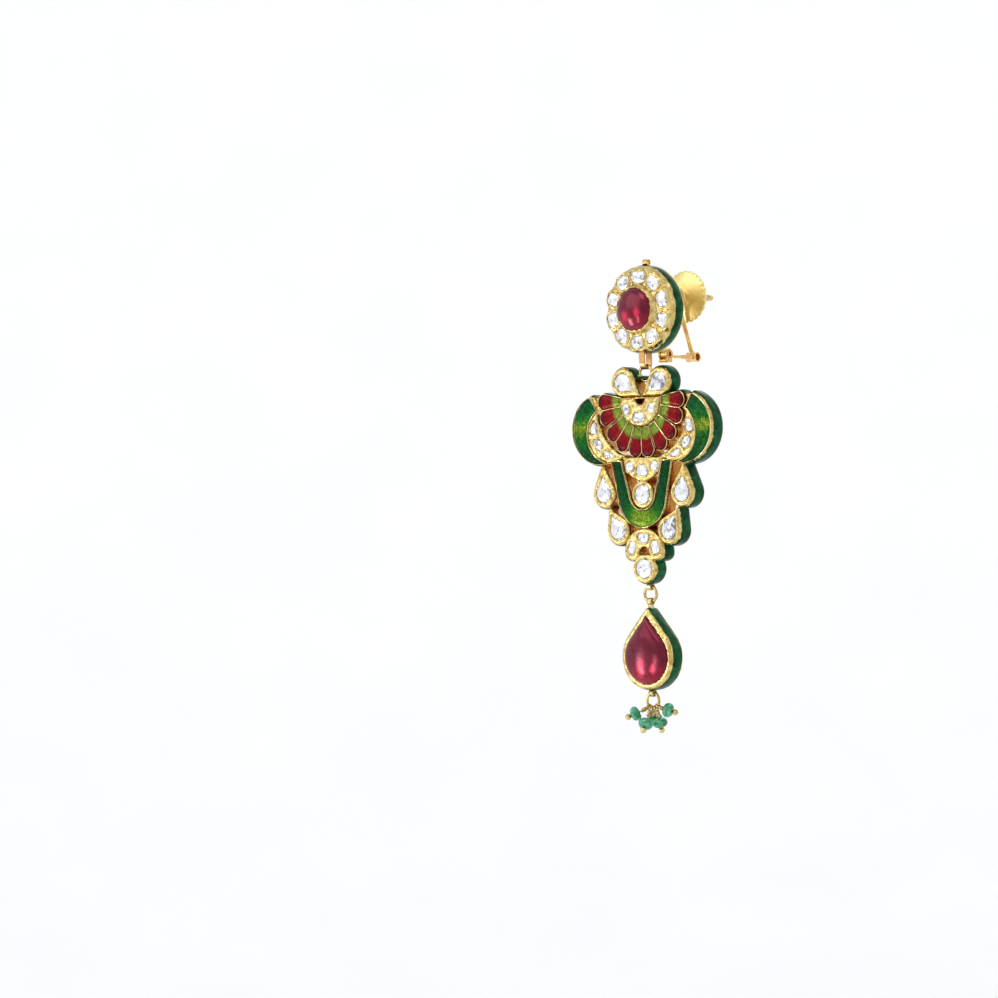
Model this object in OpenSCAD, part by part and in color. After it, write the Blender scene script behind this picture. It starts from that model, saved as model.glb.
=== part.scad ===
// Chandelier earring in gold, enamel, flat-cut stones and cabochons, shown hanging.
// The origin is on the ear post's axis at the rosette's back plane. +Z is up and the face looks
// along -Y. Front shapes are drawn as X across and Y up, and stand up in slab(), whose depths
// count forward from a back plane.

/* [Rosette] */
// Radius of the round gold case
rosette_r = 6.9; // [6.6:0.1:7.4]
// How far the rosette's centre lies below the ear post
rosette_drop = 2.3; // [2:0.1:2.5]
// Height of the side wall in front of the back plane
rosette_wall = 2.0; // [1.9:0.1:2.2]
// Radius of the round ruby
ruby_r = 3.4; // [3:0.1:3.5]
// Depth of the ruby's bezel edge
ruby_edge = 4.4; // [4.2:0.1:4.6]
// Number of flat-cut stones round the ruby
ring_stones = 10; // [8:1:10]
// Radius of the circle on which those stones lie
ring_stone_r = 5.2; // [5.1:0.05:5.3]

/* [Ear fitting] */
// Radius of the ear post
post_r = 0.5; // [0.4:0.05:0.5]
// Length of the ear post behind the back plane
post_len = 15.9; // [15:0.1:18]
// Radius of the nut to the tips of its scallops
nut_r = 4.25; // [4:0.05:4.3]
// Number of scallops on the nut's rim
nut_scallops = 24; // [16:1:28]
// Depth of the nut's front rim behind the back plane
nut_at = 9.0; // [9:0.1:10]
// Distance of the clip's hinge behind the back plane
clip_hinge_y = 3.6; // [3.4:0.1:3.8]
// Distance of the clip's hinge below the post
clip_hinge_drop = 9.35; // [9.3:0.05:9.6]
// Radius of the loop that the clip has round the post
clip_loop_r = 2.2; // [2.1:0.05:2.3]
// Thickness of the clip's wire
clip_wire = 0.4; // [0.3:0.05:0.45]

/* [Plaque] */
// Depth of the plaque's side wall
plaque_wall = 2.35; // [2.2:0.05:2.4]
// How far the gold frames stand in front of that wall
frame_rise = 0.45; // [0.3:0.05:0.5]
// How far the fan's hub stands in front of the frames
hub_rise = 0.45; // [0.3:0.05:0.6]
// Thickness of the green enamel on the side walls
enamel_t = 0.25; // [0.2:0.05:0.3]
// Outer radius of the fan
fan_r = 8.95; // [8.8:0.05:9]
// Width of the gold wire between enamel fields
cell_wire = 0.22; // [0.18:0.02:0.26]
// Clearance round a stone or an enamel field in its seat
seat_gap = 0.05; // [0.03:0.01:0.08]

/* [Drop] */
// Radius of the round part of the pear-shaped drop
drop_r = 5.1; // [4.9:0.1:5.3]
// Distance from the centre of that round part to the drop's tip
drop_tip = 7.75; // [7.5:0.05:8]
// Width of the gold bezel round the drop's ruby
drop_bezel = 0.95; // [0.9:0.05:1.1]
// Depth of the drop's side wall
drop_wall = 2.4; // [2.2:0.1:2.6]

/* [Links and beads] */
// Thickness of the wire in the jump rings
ring_wire = 0.5; // [0.45:0.05:0.5]
// Radius of a jump ring, measured to its wire's centre
ring_r = 1.23; // [1.2:0.01:1.26]
// Radius of a green bead, which is a flattened round
bead_r = 1.14; // [1:0.02:1.16]
// Thickness of a green bead along its hole
bead_t = 1.44; // [1.3:0.02:1.46]
// Radius of the gold ball that ends a head pin
ball_r = 0.5; // [0.4:0.05:0.5]
// Radius of a head pin's wire
pin_wire_r = 0.14; // [0.12:0.01:0.15]

/* [Hidden] */
$fn = 48;

gold = "goldenrod";
green = "seagreen";
red = "firebrick";
clear = "lightcyan";

// Depth at which the rings hang, counted forward from the rosette's back plane
hang = 1.4;
// How far the plaque's back lies in front of the rosette's, so that it hangs upright
plaque_forward = 0.15;
// Heights of the parts' centres below the origin
fan_z = -17.05;
bail_ring_z = -12.45;
upper_ring_z = -47.8;
drop_z = -57.85;
lower_ring_z = -64.85;

frame_w = plaque_wall + frame_rise;
hub_w = frame_w + hub_rise;
fan_w = 2.3;
// Step by which the raised frames stay inside the case's outline
step_in = 0.04;
// Width of the plain gold rims beside the green walls
rim = 0.2;
pocket_floor = 1.7;
stone_w = 1.1;

// Depth of the seats in the rosette
ruby_seat = 2.9;
ring_seat = 2.1;
// How far the rosette's wall lies behind its rims, filled with enamel
wall_inset = 0.12;
top_loop_z = 5.25;
strap_width = 1.08;
strap_t = 0.37;
// Inner width of the hinge bracket, which the clip's knuckle fits
bracket_gap = 1.08;
ear_t = 0.36;
rivet_r = 0.52;
rivet_bore_r = 0.38;
hinge_bore_r = 0.58;

// Each petal pair's direction, in degrees below the right-hand horizontal
PAIR_ANGLES = [8.5, 49.5, 90, 130.5, 171.5];
PETAL_HALF = 9.6;
petals = 2 * len(PAIR_ANGLES);
PETALS = [for (i = [1:petals]) str("petal_", i)];

// Hub of the fan: radius, flat top, radius of its half-moon hole
hub_r = 4.0;
hub_top = 0.75;
hub_hole_r = 1.42;

// Stones round the ruby: width, height
RING_STONES = [
    [2.7, 1.9], [2.35, 2.1], [2.3, 2.25], [1.95, 2.3], [2.2, 2.1],
    [2.2, 1.95], [2.3, 2.2], [2.1, 2.3], [1.8, 2.4], [2.15, 2.05]
];

// Pear settings on the right half: x, z from the fan's centre, radius, tip distance, tip angle from up
TOP_PEAR = [3.82, 3.2, 2.27, 4.3, 122];
SIDE_PEAR = [8.08, -14.55, 2.32, 4.85, -4.5];
LOW_PEAR = [5.25, -20.5, 2.32, 4.1, -28];
PEAR_FRAME = 0.82;

// Round settings: z from the fan's centre, frame radius, stone radius
HUB_STONE = [-14.8, 2.24, 1.62];
FOOT_STONE = [-26.65, 2.3, 1.64];

// Small stones: x, z from the fan's centre, width, height, turn
FAN_POLKI = [[-2.65, -1.1, 1.55, 1.85, 20], [0, -2.45, 2.6, 1.65, 0], [2.6, -1.05, 1.5, 1.75, -20]];
SIDE_POLKI = [[9.85, -3.95, 1.35, 2.0, 12], [9.1, -6.65, 1.7, 2.0, -38], [6.75, -8.15, 2.5, 1.1, 18]];
MID_POLKI = [[-2.6, -10.35, 1.7, 1.6, 20], [0, -10.95, 2.4, 1.85, 0], [2.6, -10.3, 1.7, 1.6, -20]];
BASE_POLKI = [[-2.4, -23.3, 1.5, 2.2, -20], [0, -21.8, 2.4, 1.6, 0], [2.4, -23.2, 1.6, 2.25, 20]];

// U band: height of its tops, their outer and inner x, then z and radius of its outer and inner arcs
U_TOPS = [-9.3, 6.3, 4.25];
U_OUTER = [-15.2, 4.95];
U_INNER = [-14.6, 2.65];
// Half disc above the U band and disc below it: z from the fan's centre, radius
MID_DISC = [-8.75, 3.98];
BASE_DISC = [-24.2, 4.05];
BASE_SLOT = [-24.35, 1.1];

// Circles on the right half that bound the side lobes and crescents: x, z, radius
LOBE_OUTER = [8.78, -4.24, 5.64];
LOBE_INNER = [6.66, -5.04, 4.56];
CRESCENT_INNER = [1.66, -1.17, 7.63];

// Head pins: angle on the ring, then the stem's end x, y, z from the ring's lowest point
PINS = [
    [-45, [-3.71, -1.81, -1.39]],
    [-20, [-0.15, -2.41, -3.38]],
    [2, [-1.7, 2.87, -2.56]],
    [27, [0.77, 1.1, -3.54]],
    [52, [3.9, 0.79, -0.61]]
];
// A pin's loop: its radius, and its centre's distance from the ring's centre
pin_loop_r = 0.43;
pin_loop_at = ring_r + 0.12;
PIN_NAMES = [for (i = [1:len(PINS)]) str("head_pin_", i)];
BEAD_NAMES = [for (i = [1:len(PINS)]) str("bead_", i)];

// Points on an arc
function arc(r, a0, a1, n, at = [0, 0]) =
    [for (k = [0:n]) at + r * [cos(a0 + (a1 - a0) * k / n), sin(a0 + (a1 - a0) * k / n)]];

// Pear outline with its round end at the origin and its tip up
function pear(r, tip, n = 14) =
    let (touch = asin(r / tip))
    concat(arc(r, 180 - touch, 360 + touch, n), [[0, tip]]);

// Eight-sided block with a narrower top, the outline of a hand-cut stone
function block(w, h, narrow = 0.82) =
    let (c = 0.22 * min(w, h), x = w / 2, y = h / 2)
    [
        [-x + c, -y], [x - c, -y], [x, -y + c], [x * narrow, y - c],
        [x * narrow - c, y], [-x * narrow + c, y], [-x * narrow, y - c], [-x, -y + c]
    ];

// Stands a front shape up between two depths in front of a back plane
module slab(w0, w1) {
    rotate([90, 0, 0])
        translate([0, 0, w0])
            linear_extrude(w1 - w0)
                children();
}

// Stands an outline up as a solid through rings of it, each given as a depth and a scale
module loft(points, rings) {
    n = len(points);
    all_points = [for (r = rings) for (p = points) [p.x * r[1], -r[0], p.y * r[1]]];
    back = [for (i = [0:n - 1]) i];
    front = [for (i = [n - 1:-1:0]) (len(rings) - 1) * n + i];
    sides = [
        for (k = [0:len(rings) - 2])
            for (i = [0:n - 1])
                [k * n + i, (k + 1) * n + i, (k + 1) * n + (i + 1) % n, k * n + (i + 1) % n]
    ];
    polyhedron(points = all_points, faces = concat([back, front], sides));
}

// Flat-cut stone: pavilion, girdle, a row of facets and a table
module cut_stone(points, top_w) {
    color(clear)
        loft(points, [
            [top_w - stone_w, 0.78], [top_w - 0.45, 1], [top_w - 0.3, 1], [top_w, 0.62]
        ]);
}

// Domed stone through rings whose scale falls as the dome rises
module cabochon(points, w0, edge_w, top_w, steps = 6) {
    rings = concat(
        [[w0, 1]],
        [for (k = [0:steps - 1]) [edge_w + (top_w - edge_w) * sin(90 * k / steps), cos(90 * k / steps)]],
        [[top_w, 0.06]]
    );
    loft(points, rings);
}

module wire_ring(r, wire_r) {
    rotate_extrude()
        translate([r, 0])
            circle(wire_r, $fn = 24);
}

module link(at_z) {
    color(gold)
        translate([0, -hang, at_z])
            rotate([90, 0, 0])
                wire_ring(ring_r, ring_wire / 2);
}

// Eye with its bore along X, for a ring's wire that passes at its centre
module eye(width, outer_r, bore_r) {
    rotate([0, 90, 0])
        difference() {
            cylinder(h = width, r = outer_r, center = true);
            cylinder(h = width + 1, r = bore_r, center = true);
        }
}

module mirrored() {
    children();
    mirror([1, 0, 0]) children();
}

module place(p, turn = 0) {
    translate([p[0], p[1]])
        rotate(turn)
            children();
}

// Rosette

module rosette_face() {
    polygon([
        [0, 0], [rosette_r + 0.15, 0], [rosette_r + 0.15, rim], [rosette_r - wall_inset, rim],
        [rosette_r - wall_inset, rosette_wall - rim], [rosette_r, rosette_wall],
        [rosette_r - 0.5, 2.55], [ring_stone_r, 3.1], [ruby_r + 0.45, 3.45],
        [ruby_r + 0.35, ruby_edge], [ruby_r + seat_gap, ruby_edge],
        [ruby_r + seat_gap, ruby_seat], [0, ruby_seat]
    ]);
}

module rosette_body() {
    translate([0, 0, -rosette_drop])
        rotate([90, 0, 0])
            rotate_extrude($fn = 96)
                rosette_face();
}

function ring_stone(i) = block(RING_STONES[i][0], RING_STONES[i][1], 1.15);

module at_ring_stone(i) {
    translate([0, 0, -rosette_drop])
        rotate([0, 2.5 + 360 / ring_stones * i, 0])
            translate([0, 0, ring_stone_r])
                children();
}

module rosette_seats() {
    for (i = [0:ring_stones - 1])
        at_ring_stone(i)
            pocket(ring_seat) polygon(ring_stone(i));
}

module bail_strap() {
    low = -11.9;
    high = -8.9;
    half = 1.05;
    translate([-strap_width / 2, -hang, 0])
        rotate([90, 0, 90])
            linear_extrude(strap_width)
                difference() {
                    union() {
                        translate([-half, low + half]) square([2 * half, high - low - half]);
                        translate([0, low + half]) circle(half);
                    }
                    union() {
                        translate([-half + strap_t, low + half]) square([2 * (half - strap_t), 5]);
                        translate([0, low + half]) circle(half - strap_t);
                    }
                }
}

module top_loop() {
    neck = 0.6;
    translate([0, -hang / 2, top_loop_z])
        eye(1.0, 0.56, 0.35);
    translate([-neck / 2, -hang / 2 - neck / 2, top_loop_z - 1.05])
        cube([neck, neck, 0.65]);
}

// Two ears on a tongue from the rosette's back, with a stop block below them
module clip_bracket() {
    width = bracket_gap + 2 * ear_t;
    for (side = [-1, 1])
        translate([side * (bracket_gap + ear_t) / 2, clip_hinge_y, -clip_hinge_drop])
            eye(ear_t, 0.9, hinge_bore_r);
    difference() {
        translate([-width / 2, -0.2, -clip_hinge_drop + 0.5])
            cube([width, clip_hinge_y + 0.3, 0.45]);
        translate([0, clip_hinge_y, -clip_hinge_drop])
            rotate([0, 90, 0])
                cylinder(h = 3, r = 0.78, center = true);
        translate([-bracket_gap / 2, clip_hinge_y - 1.1, -clip_hinge_drop - 1])
            cube([bracket_gap, 5, 3]);
    }
    difference() {
        translate([-width / 2, clip_hinge_y - 0.75, -clip_hinge_drop - 1.35])
            cube([width, 1.5, 0.7]);
        translate([-bracket_gap / 2, clip_hinge_y - 0.95, -clip_hinge_drop - 0.88])
            cube([bracket_gap, 3, 1]);
    }
}

module rosette_case() {
    color(gold) {
        difference() {
            rosette_body();
            rosette_seats();
        }
        bail_strap();
        top_loop();
        clip_bracket();
        rotate([-90, 0, 0]) {
            cylinder(h = post_len - post_r, r = post_r);
            translate([0, 0, post_len - post_r]) sphere(post_r);
        }
    }
}

module rosette_enamel() {
    in_r = rosette_r - wall_inset + 0.02;
    color(green)
        difference() {
            translate([0, 0, -rosette_drop])
                rotate([90, 0, 0])
                    rotate_extrude($fn = 96)
                        translate([in_r, rim + 0.02])
                            square([rosette_r + enamel_t - 0.04 - in_r, rosette_wall - 2 * rim - 0.04]);
            // Slots where the bail strap and the top loop leave the case
            translate([-0.6, -hang - 1.1, -rosette_drop - rosette_r - 1]) cube([1.2, 2.2, 1.6]);
            translate([-0.6, -hang / 2 - 0.62, 4]) cube([1.2, 1.24, 2]);
        }
}

module rosette_ruby() {
    // Sphere whose cap rises dome_h over the girdle
    dome_h = 1.05;
    dome_r = (ruby_r * ruby_r + dome_h * dome_h) / (2 * dome_h);
    girdle = ruby_edge - 0.15;
    color(red)
        translate([0, 0, -rosette_drop])
            rotate([90, 0, 0])
                intersection() {
                    translate([0, 0, ruby_seat + 0.03]) cylinder(h = 5, r = ruby_r);
                    translate([0, 0, girdle + dome_h - dome_r]) sphere(dome_r, $fn = 96);
                }
}

module rosette_polki() {
    for (i = [0:ring_stones - 1])
        at_ring_stone(i)
            cut_stone(ring_stone(i), 3.25);
}

// Ear fitting

module clip_rivet() {
    color(gold)
        translate([0, clip_hinge_y, -clip_hinge_drop])
            eye(bracket_gap + 2 * ear_t + 0.16, rivet_r, rivet_bore_r);
}

module post_nut() {
    boss_r = 1.1;
    edge = nut_r - 0.28;
    color(gold)
        translate([0, nut_at, 0])
            rotate([-90, 0, 0]) {
                rotate_extrude($fn = 96)
                    polygon([
                        [post_r + 0.04, -0.75], [boss_r, -0.75], [2.2, -0.55], [3.3, -0.25], [edge, 0],
                        [edge, 0.35], [3.2, 0.15], [boss_r + 0.1, -0.1], [boss_r, 1.1], [post_r + 0.04, 1.1]
                    ]);
                for (i = [0:nut_scallops - 1])
                    rotate(360 / nut_scallops * i)
                        translate([edge - 0.1, 0, 0])
                            cylinder(h = 0.35, r = nut_r - edge + 0.1);
            }
}

// Bent lever: a knuckle at the hinge, an arm back to an open barrel, two wires up to the post's loop
module clip_lever() {
    barrel = [10.6, -9.75];
    centre = [6.6, 0];
    lean = atan((barrel.x - centre.x) / (centre.y - barrel.y));
    reach = norm(barrel - centre);
    wire_r = clip_wire / 2;
    knuckle_w = bracket_gap - 0.16;
    color(gold) {
        translate([0, clip_hinge_y, -clip_hinge_drop])
            eye(knuckle_w, 0.74, hinge_bore_r);
        // Arm from the knuckle to the barrel
        translate([-knuckle_w / 2, clip_hinge_y + 0.66, -clip_hinge_drop - 0.55])
            cube([knuckle_w, barrel.x - clip_hinge_y - 1.3, 0.37]);
        translate([0, barrel.x, barrel.y])
            eye(2.0, 0.75, 0.55);
        translate([0, barrel.x, barrel.y])
            rotate([lean, 0, 0]) {
                for (side = [-1, 1])
                    translate([side * (wire_r - 0.02), 0, 0.65])
                        cylinder(h = reach - clip_loop_r - 0.65, r = wire_r);
                translate([-0.45, -0.35, 0.5])
                    cube([0.9, 0.7, 0.5]);
                translate([0, 0, reach])
                    rotate([90, 0, 0])
                        wire_ring(clip_loop_r, wire_r + 0.03);
            }
    }
}

// Plaque outlines, drawn about the fan's centre

module at_fan() {
    translate([0, -plaque_forward, fan_z])
        children();
}

module pear_shape(p, inset = 0) {
    place(p, p[4])
        polygon(pear(p[2] - inset, p[3] - inset * p[3] / p[2], 18));
}

module lobe() {
    difference() {
        place(LOBE_OUTER) circle(LOBE_OUTER[2]);
        place(LOBE_INNER) circle(LOBE_INNER[2]);
        polygon([[11.05, 2], [10.58, 1.12], [9.26, -1.06], [8.6, -2], [2, -2], [2, 2]]);
    }
}

module crescent() {
    difference() {
        place(LOBE_INNER) circle(LOBE_INNER[2]);
        place(CRESCENT_INNER) circle(CRESCENT_INNER[2], $fn = 60);
    }
}

module petal_shape(i) {
    half_w = 1.32;
    root_x = hub_r + 0.12;
    root_half_w = 0.67;
    angle = -PAIR_ANGLES[floor(i / 2)] + (i % 2 == 0 ? PETAL_HALF : -PETAL_HALF);
    rotate(angle)
        polygon(concat(
            [[root_x, -root_half_w]],
            arc(half_w, -80, 80, 8, [fan_r - half_w, 0]),
            [[root_x, root_half_w]]
        ));
}

module all_petals() {
    for (i = [0:petals - 1])
        petal_shape(i);
}

module fan_shape() {
    all_petals();
    difference() {
        circle(7.35);
        translate([-10, 0.9]) square([20, 10]);
    }
}

module hub_shape() {
    difference() {
        circle(hub_r);
        translate([-5, hub_top]) square([10, 5]);
        hub_hole();
    }
}

module hub_hole() {
    difference() {
        translate([0, hub_top - 0.15]) circle(hub_hole_r);
        translate([-2, hub_top - 0.2]) square([4, 2]);
    }
}

module u_shape(inset = 0) {
    top = U_TOPS[0] - inset;
    polygon(concat(
        [[-U_TOPS[1] + inset, top]],
        arc(U_OUTER[1] - inset, 185, 355, 20, [0, U_OUTER[0]]),
        [[U_TOPS[1] - inset, top], [U_TOPS[2] + inset, top]],
        arc(U_INNER[1] + inset, -5, -175, 14, [0, U_INNER[0]]),
        [[-U_TOPS[2] - inset, top]]
    ));
}

module mid_shape() {
    difference() {
        translate([0, MID_DISC[0]]) circle(MID_DISC[1]);
        translate([-5, MID_DISC[0]]) square([10, 5]);
    }
    // Bar that ties the half disc to the U band's tops
    translate([-4.3, MID_DISC[0] - 0.35]) square([8.6, 0.35]);
}

module base_shape() {
    difference() {
        translate([0, BASE_DISC[0]]) circle(BASE_DISC[1]);
        translate([-5, BASE_DISC[0] - 5.1]) square([10, 4]);
        base_slot();
    }
}

module base_slot() {
    difference() {
        translate([0, BASE_SLOT[0]]) circle(BASE_SLOT[1]);
        translate([-2, BASE_SLOT[0] - 2]) square([4, 2]);
    }
}

// Gold webs that tie the fan to the side lobes behind the enamel
module web_shape() {
    polygon([[10.6, 1.05], [8.6, 0.9], [7.8, -0.6], [7.8, -1.8], [9.4, -1.8]]);
}

module frames_shape() {
    mirrored() {
        pear_shape(TOP_PEAR);
        pear_shape(SIDE_PEAR);
        pear_shape(LOW_PEAR);
        crescent();
        lobe();
    }
    u_shape();
    mid_shape();
    base_shape();
    translate([0, HUB_STONE[0]]) circle(HUB_STONE[1]);
    translate([0, FOOT_STONE[0]]) circle(FOOT_STONE[1]);
}

// The frames without what the petals cover
module raised_frames() {
    difference() {
        frames_shape();
        all_petals();
    }
}

// The whole pierced outline, with solder fillets where settings meet
module plaque_shape() {
    fillet = 0.16;
    offset(r = -fillet, $fn = 16)
        offset(delta = fillet, $fn = 36) {
            frames_shape();
            fan_shape();
            hub_shape();
            mirrored() web_shape();
        }
}

// The same outline with its inner gaps filled, for the enamel on the outer wall
module plaque_cover() {
    plaque_shape();
    difference() {
        circle(9.95);
        translate([-12, -1.6]) square([24, 12]);
    }
    circle(3.9);
    mirrored()
        polygon([
            [0, -8], [8.45, -9.3], [8.5, -11], [8.1, -14.5], [7.1, -17.2],
            [5.2, -20.5], [3, -22.5], [1.6, -24.9], [0, -25]
        ]);
}

// Pockets in the front for stones and enamel
module pocket(floor_w = pocket_floor) {
    slab(floor_w, 6)
        offset(delta = seat_gap)
            children();
}

function pear_stone(p) = pear(p[2] - PEAR_FRAME, (p[2] - PEAR_FRAME) * 1.72, 12);

module at_polki(s) {
    translate([s[0], 0, s[1]])
        rotate([0, -s[4], 0])
            children();
}

module polki_pockets(table, floor_w = pocket_floor) {
    for (s = table)
        at_polki(s)
            pocket(floor_w = floor_w) polygon(block(s[2], s[3]));
}

module field_shape(inset) {
    offset(delta = -inset)
        children();
}

module plaque_pockets() {
    mirrored() {
        for (p = [TOP_PEAR, SIDE_PEAR, LOW_PEAR])
            pocket() place(p, p[4]) polygon(pear_stone(p));
        polki_pockets(SIDE_POLKI);
        slab(pocket_floor, 6) field_shape(cell_wire) lobe();
    }
    for (i = [0:petals - 1])
        slab(pocket_floor, 6) field_shape(cell_wire / 2) petal_shape(i);
    slab(pocket_floor, 6) u_shape(cell_wire);
    for (s = [HUB_STONE, FOOT_STONE])
        pocket() translate([0, s[0]]) circle(s[2], $fn = 16);
    polki_pockets(FAN_POLKI, pocket_floor + hub_rise);
    polki_pockets(MID_POLKI);
    polki_pockets(BASE_POLKI);
}

module bail_ring() {
    link(bail_ring_z);
    // Solder between the ring and the two top settings
    mirrored()
        translate([1.25, -hang - 0.2, bail_ring_z - 0.75])
            cube([0.7, 0.4, 0.5]);
}

// Eye under the lowest setting, with a neck above its bore
module bottom_eye() {
    neck = 0.7;
    eye_z = upper_ring_z + ring_r - 0.04;
    translate([0, -hang, eye_z]) eye(0.9, 0.62, 0.4);
    translate([-neck / 2, -hang - neck / 2, eye_z + 0.46]) cube([neck, neck, 0.6]);
}

module plaque_case() {
    color(gold) {
        at_fan()
            difference() {
                union() {
                    slab(0, fan_w) plaque_shape();
                    slab(fan_w - 0.1, frame_w) field_shape(step_in) raised_frames();
                    slab(fan_w - 0.1, hub_w) field_shape(step_in) hub_shape();
                }
                plaque_pockets();
            }
        bail_ring();
        bottom_eye();
    }
}

module plaque_enamel() {
    color(green)
        difference() {
            at_fan()
                slab(rim, plaque_wall)
                    difference() {
                        offset(delta = enamel_t) plaque_cover();
                        offset(delta = 0.02) plaque_cover();
                    }
            // Slots for the top ring's solder, and a gap where the bottom eye leaves the wall
            translate([-2.1, -hang - 0.32, bail_ring_z - 0.95]) cube([4.2, 0.64, 0.85]);
            translate([-0.55, -3, fan_z + FOOT_STONE[0] - 3.5]) cube([1.1, 4, 2]);
        }
}

module petal(i) {
    color(red)
        at_fan() {
            slab(pocket_floor + 0.02, 2.5) field_shape(cell_wire / 2 + seat_gap) petal_shape(i);
            slab(2.4, 2.68) field_shape(cell_wire / 2 + 0.3) petal_shape(i);
        }
}

module lobe_fill() {
    color(green)
        at_fan() {
            slab(pocket_floor + 0.02, frame_w) field_shape(cell_wire + seat_gap) lobe();
            slab(frame_w - 0.1, frame_w + 0.2) field_shape(cell_wire + 0.45) lobe();
        }
}

module u_band() {
    color(green)
        at_fan() {
            slab(pocket_floor + 0.02, frame_w) u_shape(cell_wire + seat_gap);
            slab(frame_w - 0.1, frame_w + 0.15) u_shape(cell_wire + 0.4);
        }
}

module pear_gem(p) {
    at_fan()
        translate([p[0], 0, p[1]])
            rotate([0, -p[4], 0])
                cut_stone(pear_stone(p), frame_w);
}

module round_gem(s) {
    at_fan()
        translate([0, 0, s[0]])
            cut_stone(arc(s[2], 0, 330, 11), frame_w);
}

module polki_field(table, top_w = frame_w) {
    at_fan()
        for (s = table)
            at_polki(s)
                cut_stone(block(s[2], s[3]), top_w);
}

// Drop

module drop_shape(inset = 0) {
    polygon(pear(drop_r - inset, drop_tip - inset * drop_tip / drop_r, 40));
}

module at_drop() {
    translate([0, 0, drop_z])
        children();
}

module drop_case() {
    upper_eye = upper_ring_z - ring_r + 0.04 - drop_z;
    lower_eye = lower_ring_z + ring_r - 0.04 - drop_z;
    front = drop_wall + 0.5;
    color(gold)
        at_drop() {
            difference() {
                union() {
                    slab(0, front) drop_shape();
                    slab(0, rim) offset(delta = 0.2) drop_shape();
                }
                slab(1.2, 6) offset(delta = seat_gap) drop_shape(drop_bezel);
            }
            translate([0, -hang, upper_eye]) eye(0.96, 0.62, 0.4);
            translate([0, -hang, lower_eye]) eye(0.96, 0.62, 0.4);
            // Necks between the drop and its two eyes
            translate([-0.4, -hang - 0.4, drop_tip - 0.9]) cube([0.8, 0.8, upper_eye - drop_tip + 0.42]);
            translate([-0.4, -hang - 0.4, lower_eye + 0.48]) cube([0.8, 0.8, 0.8]);
        }
}

module drop_enamel() {
    color(green)
        at_drop()
            difference() {
                slab(rim + 0.02, drop_wall)
                    difference() {
                        offset(delta = enamel_t) drop_shape();
                        offset(delta = 0.02) drop_shape();
                    }
                // Gaps round the two eyes
                translate([-0.6, -hang - 0.7, drop_tip - 0.8]) cube([1.2, 1.4, 3]);
                translate([-0.6, -hang - 0.75, -drop_r - 1.5]) cube([1.2, 1.5, 2]);
            }
}

module drop_ruby() {
    edge = drop_wall + 0.4;
    inset = drop_bezel;
    color(red)
        at_drop()
            cabochon(pear(drop_r - inset, drop_tip - inset * drop_tip / drop_r, 28), 1.23, edge, edge + 1.3);
}

// Beads

function pin_start(p) = let (a = PINS[p][0]) (pin_loop_at + pin_loop_r) * [sin(a), 0, -cos(a)];
function pin_end(p) = [0, 0, -ring_r] + PINS[p][1];

module along(from, to) {
    d = to - from;
    translate(from)
        rotate([0, acos(d.z / norm(d)), atan2(d.y, d.x)])
            children();
}

module at_lower_ring() {
    translate([0, -hang, lower_ring_z])
        children();
}

module head_pin(p) {
    a = PINS[p][0];
    stem = norm(pin_end(p) - pin_start(p));
    color(gold)
        at_lower_ring() {
            rotate([0, -a, 0])
                translate([0, 0, -pin_loop_at])
                    rotate([0, 90, 0])
                        wire_ring(pin_loop_r, pin_wire_r);
            along(pin_start(p), pin_end(p)) {
                cylinder(h = stem, r = pin_wire_r);
                translate([0, 0, stem]) sphere(ball_r);
            }
        }
}

// Round bead with a rounded edge, threaded on its pin up to the ball
module bead(p) {
    stem = norm(pin_end(p) - pin_start(p));
    hole_r = pin_wire_r + 0.04;
    half = bead_t / 2;
    color(green)
        at_lower_ring()
            along(pin_start(p), pin_end(p))
                translate([0, 0, stem - ball_r - half - 0.02])
                    rotate_extrude()
                        polygon(concat(
                            [[hole_r, -half]],
                            arc(half, -90, 90, 10, [bead_r - half, 0]),
                            [[hole_r, half]]
                        ));
}

rosette_case();
rosette_enamel();
rosette_ruby();
rosette_polki();
clip_rivet();
post_nut();
clip_lever();
plaque_case();
plaque_enamel();
mirror([1, 0, 0]) lobe_fill();  // lobe_left
lobe_fill();  // lobe_right
u_band();
for (i = [0:petals - 1]) petal(i);
mirror([1, 0, 0]) pear_gem(TOP_PEAR);  // top_pear_left
pear_gem(TOP_PEAR);  // top_pear_right
mirror([1, 0, 0]) pear_gem(SIDE_PEAR);  // side_pear_left
pear_gem(SIDE_PEAR);  // side_pear_right
mirror([1, 0, 0]) pear_gem(LOW_PEAR);  // low_pear_left
pear_gem(LOW_PEAR);  // low_pear_right
round_gem(HUB_STONE);  // hub_stone
round_gem(FOOT_STONE);  // foot_stone
polki_field(FAN_POLKI, hub_w);  // fan_polki
mirror([1, 0, 0]) polki_field(SIDE_POLKI);  // left_polki
polki_field(SIDE_POLKI);  // right_polki
polki_field(MID_POLKI);  // mid_polki
polki_field(BASE_POLKI);  // base_polki
link(upper_ring_z);  // upper_ring
drop_case();
drop_enamel();
drop_ruby();
link(lower_ring_z);  // lower_ring
for (i = [0:len(PINS) - 1]) head_pin(i);
for (i = [0:len(PINS) - 1]) bead(i);
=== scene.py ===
from math import asin, atan2, copysign, cos, degrees, pi, radians, sin
import bmesh
import bpy
import numpy as np
from mathutils import Matrix, Vector


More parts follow.
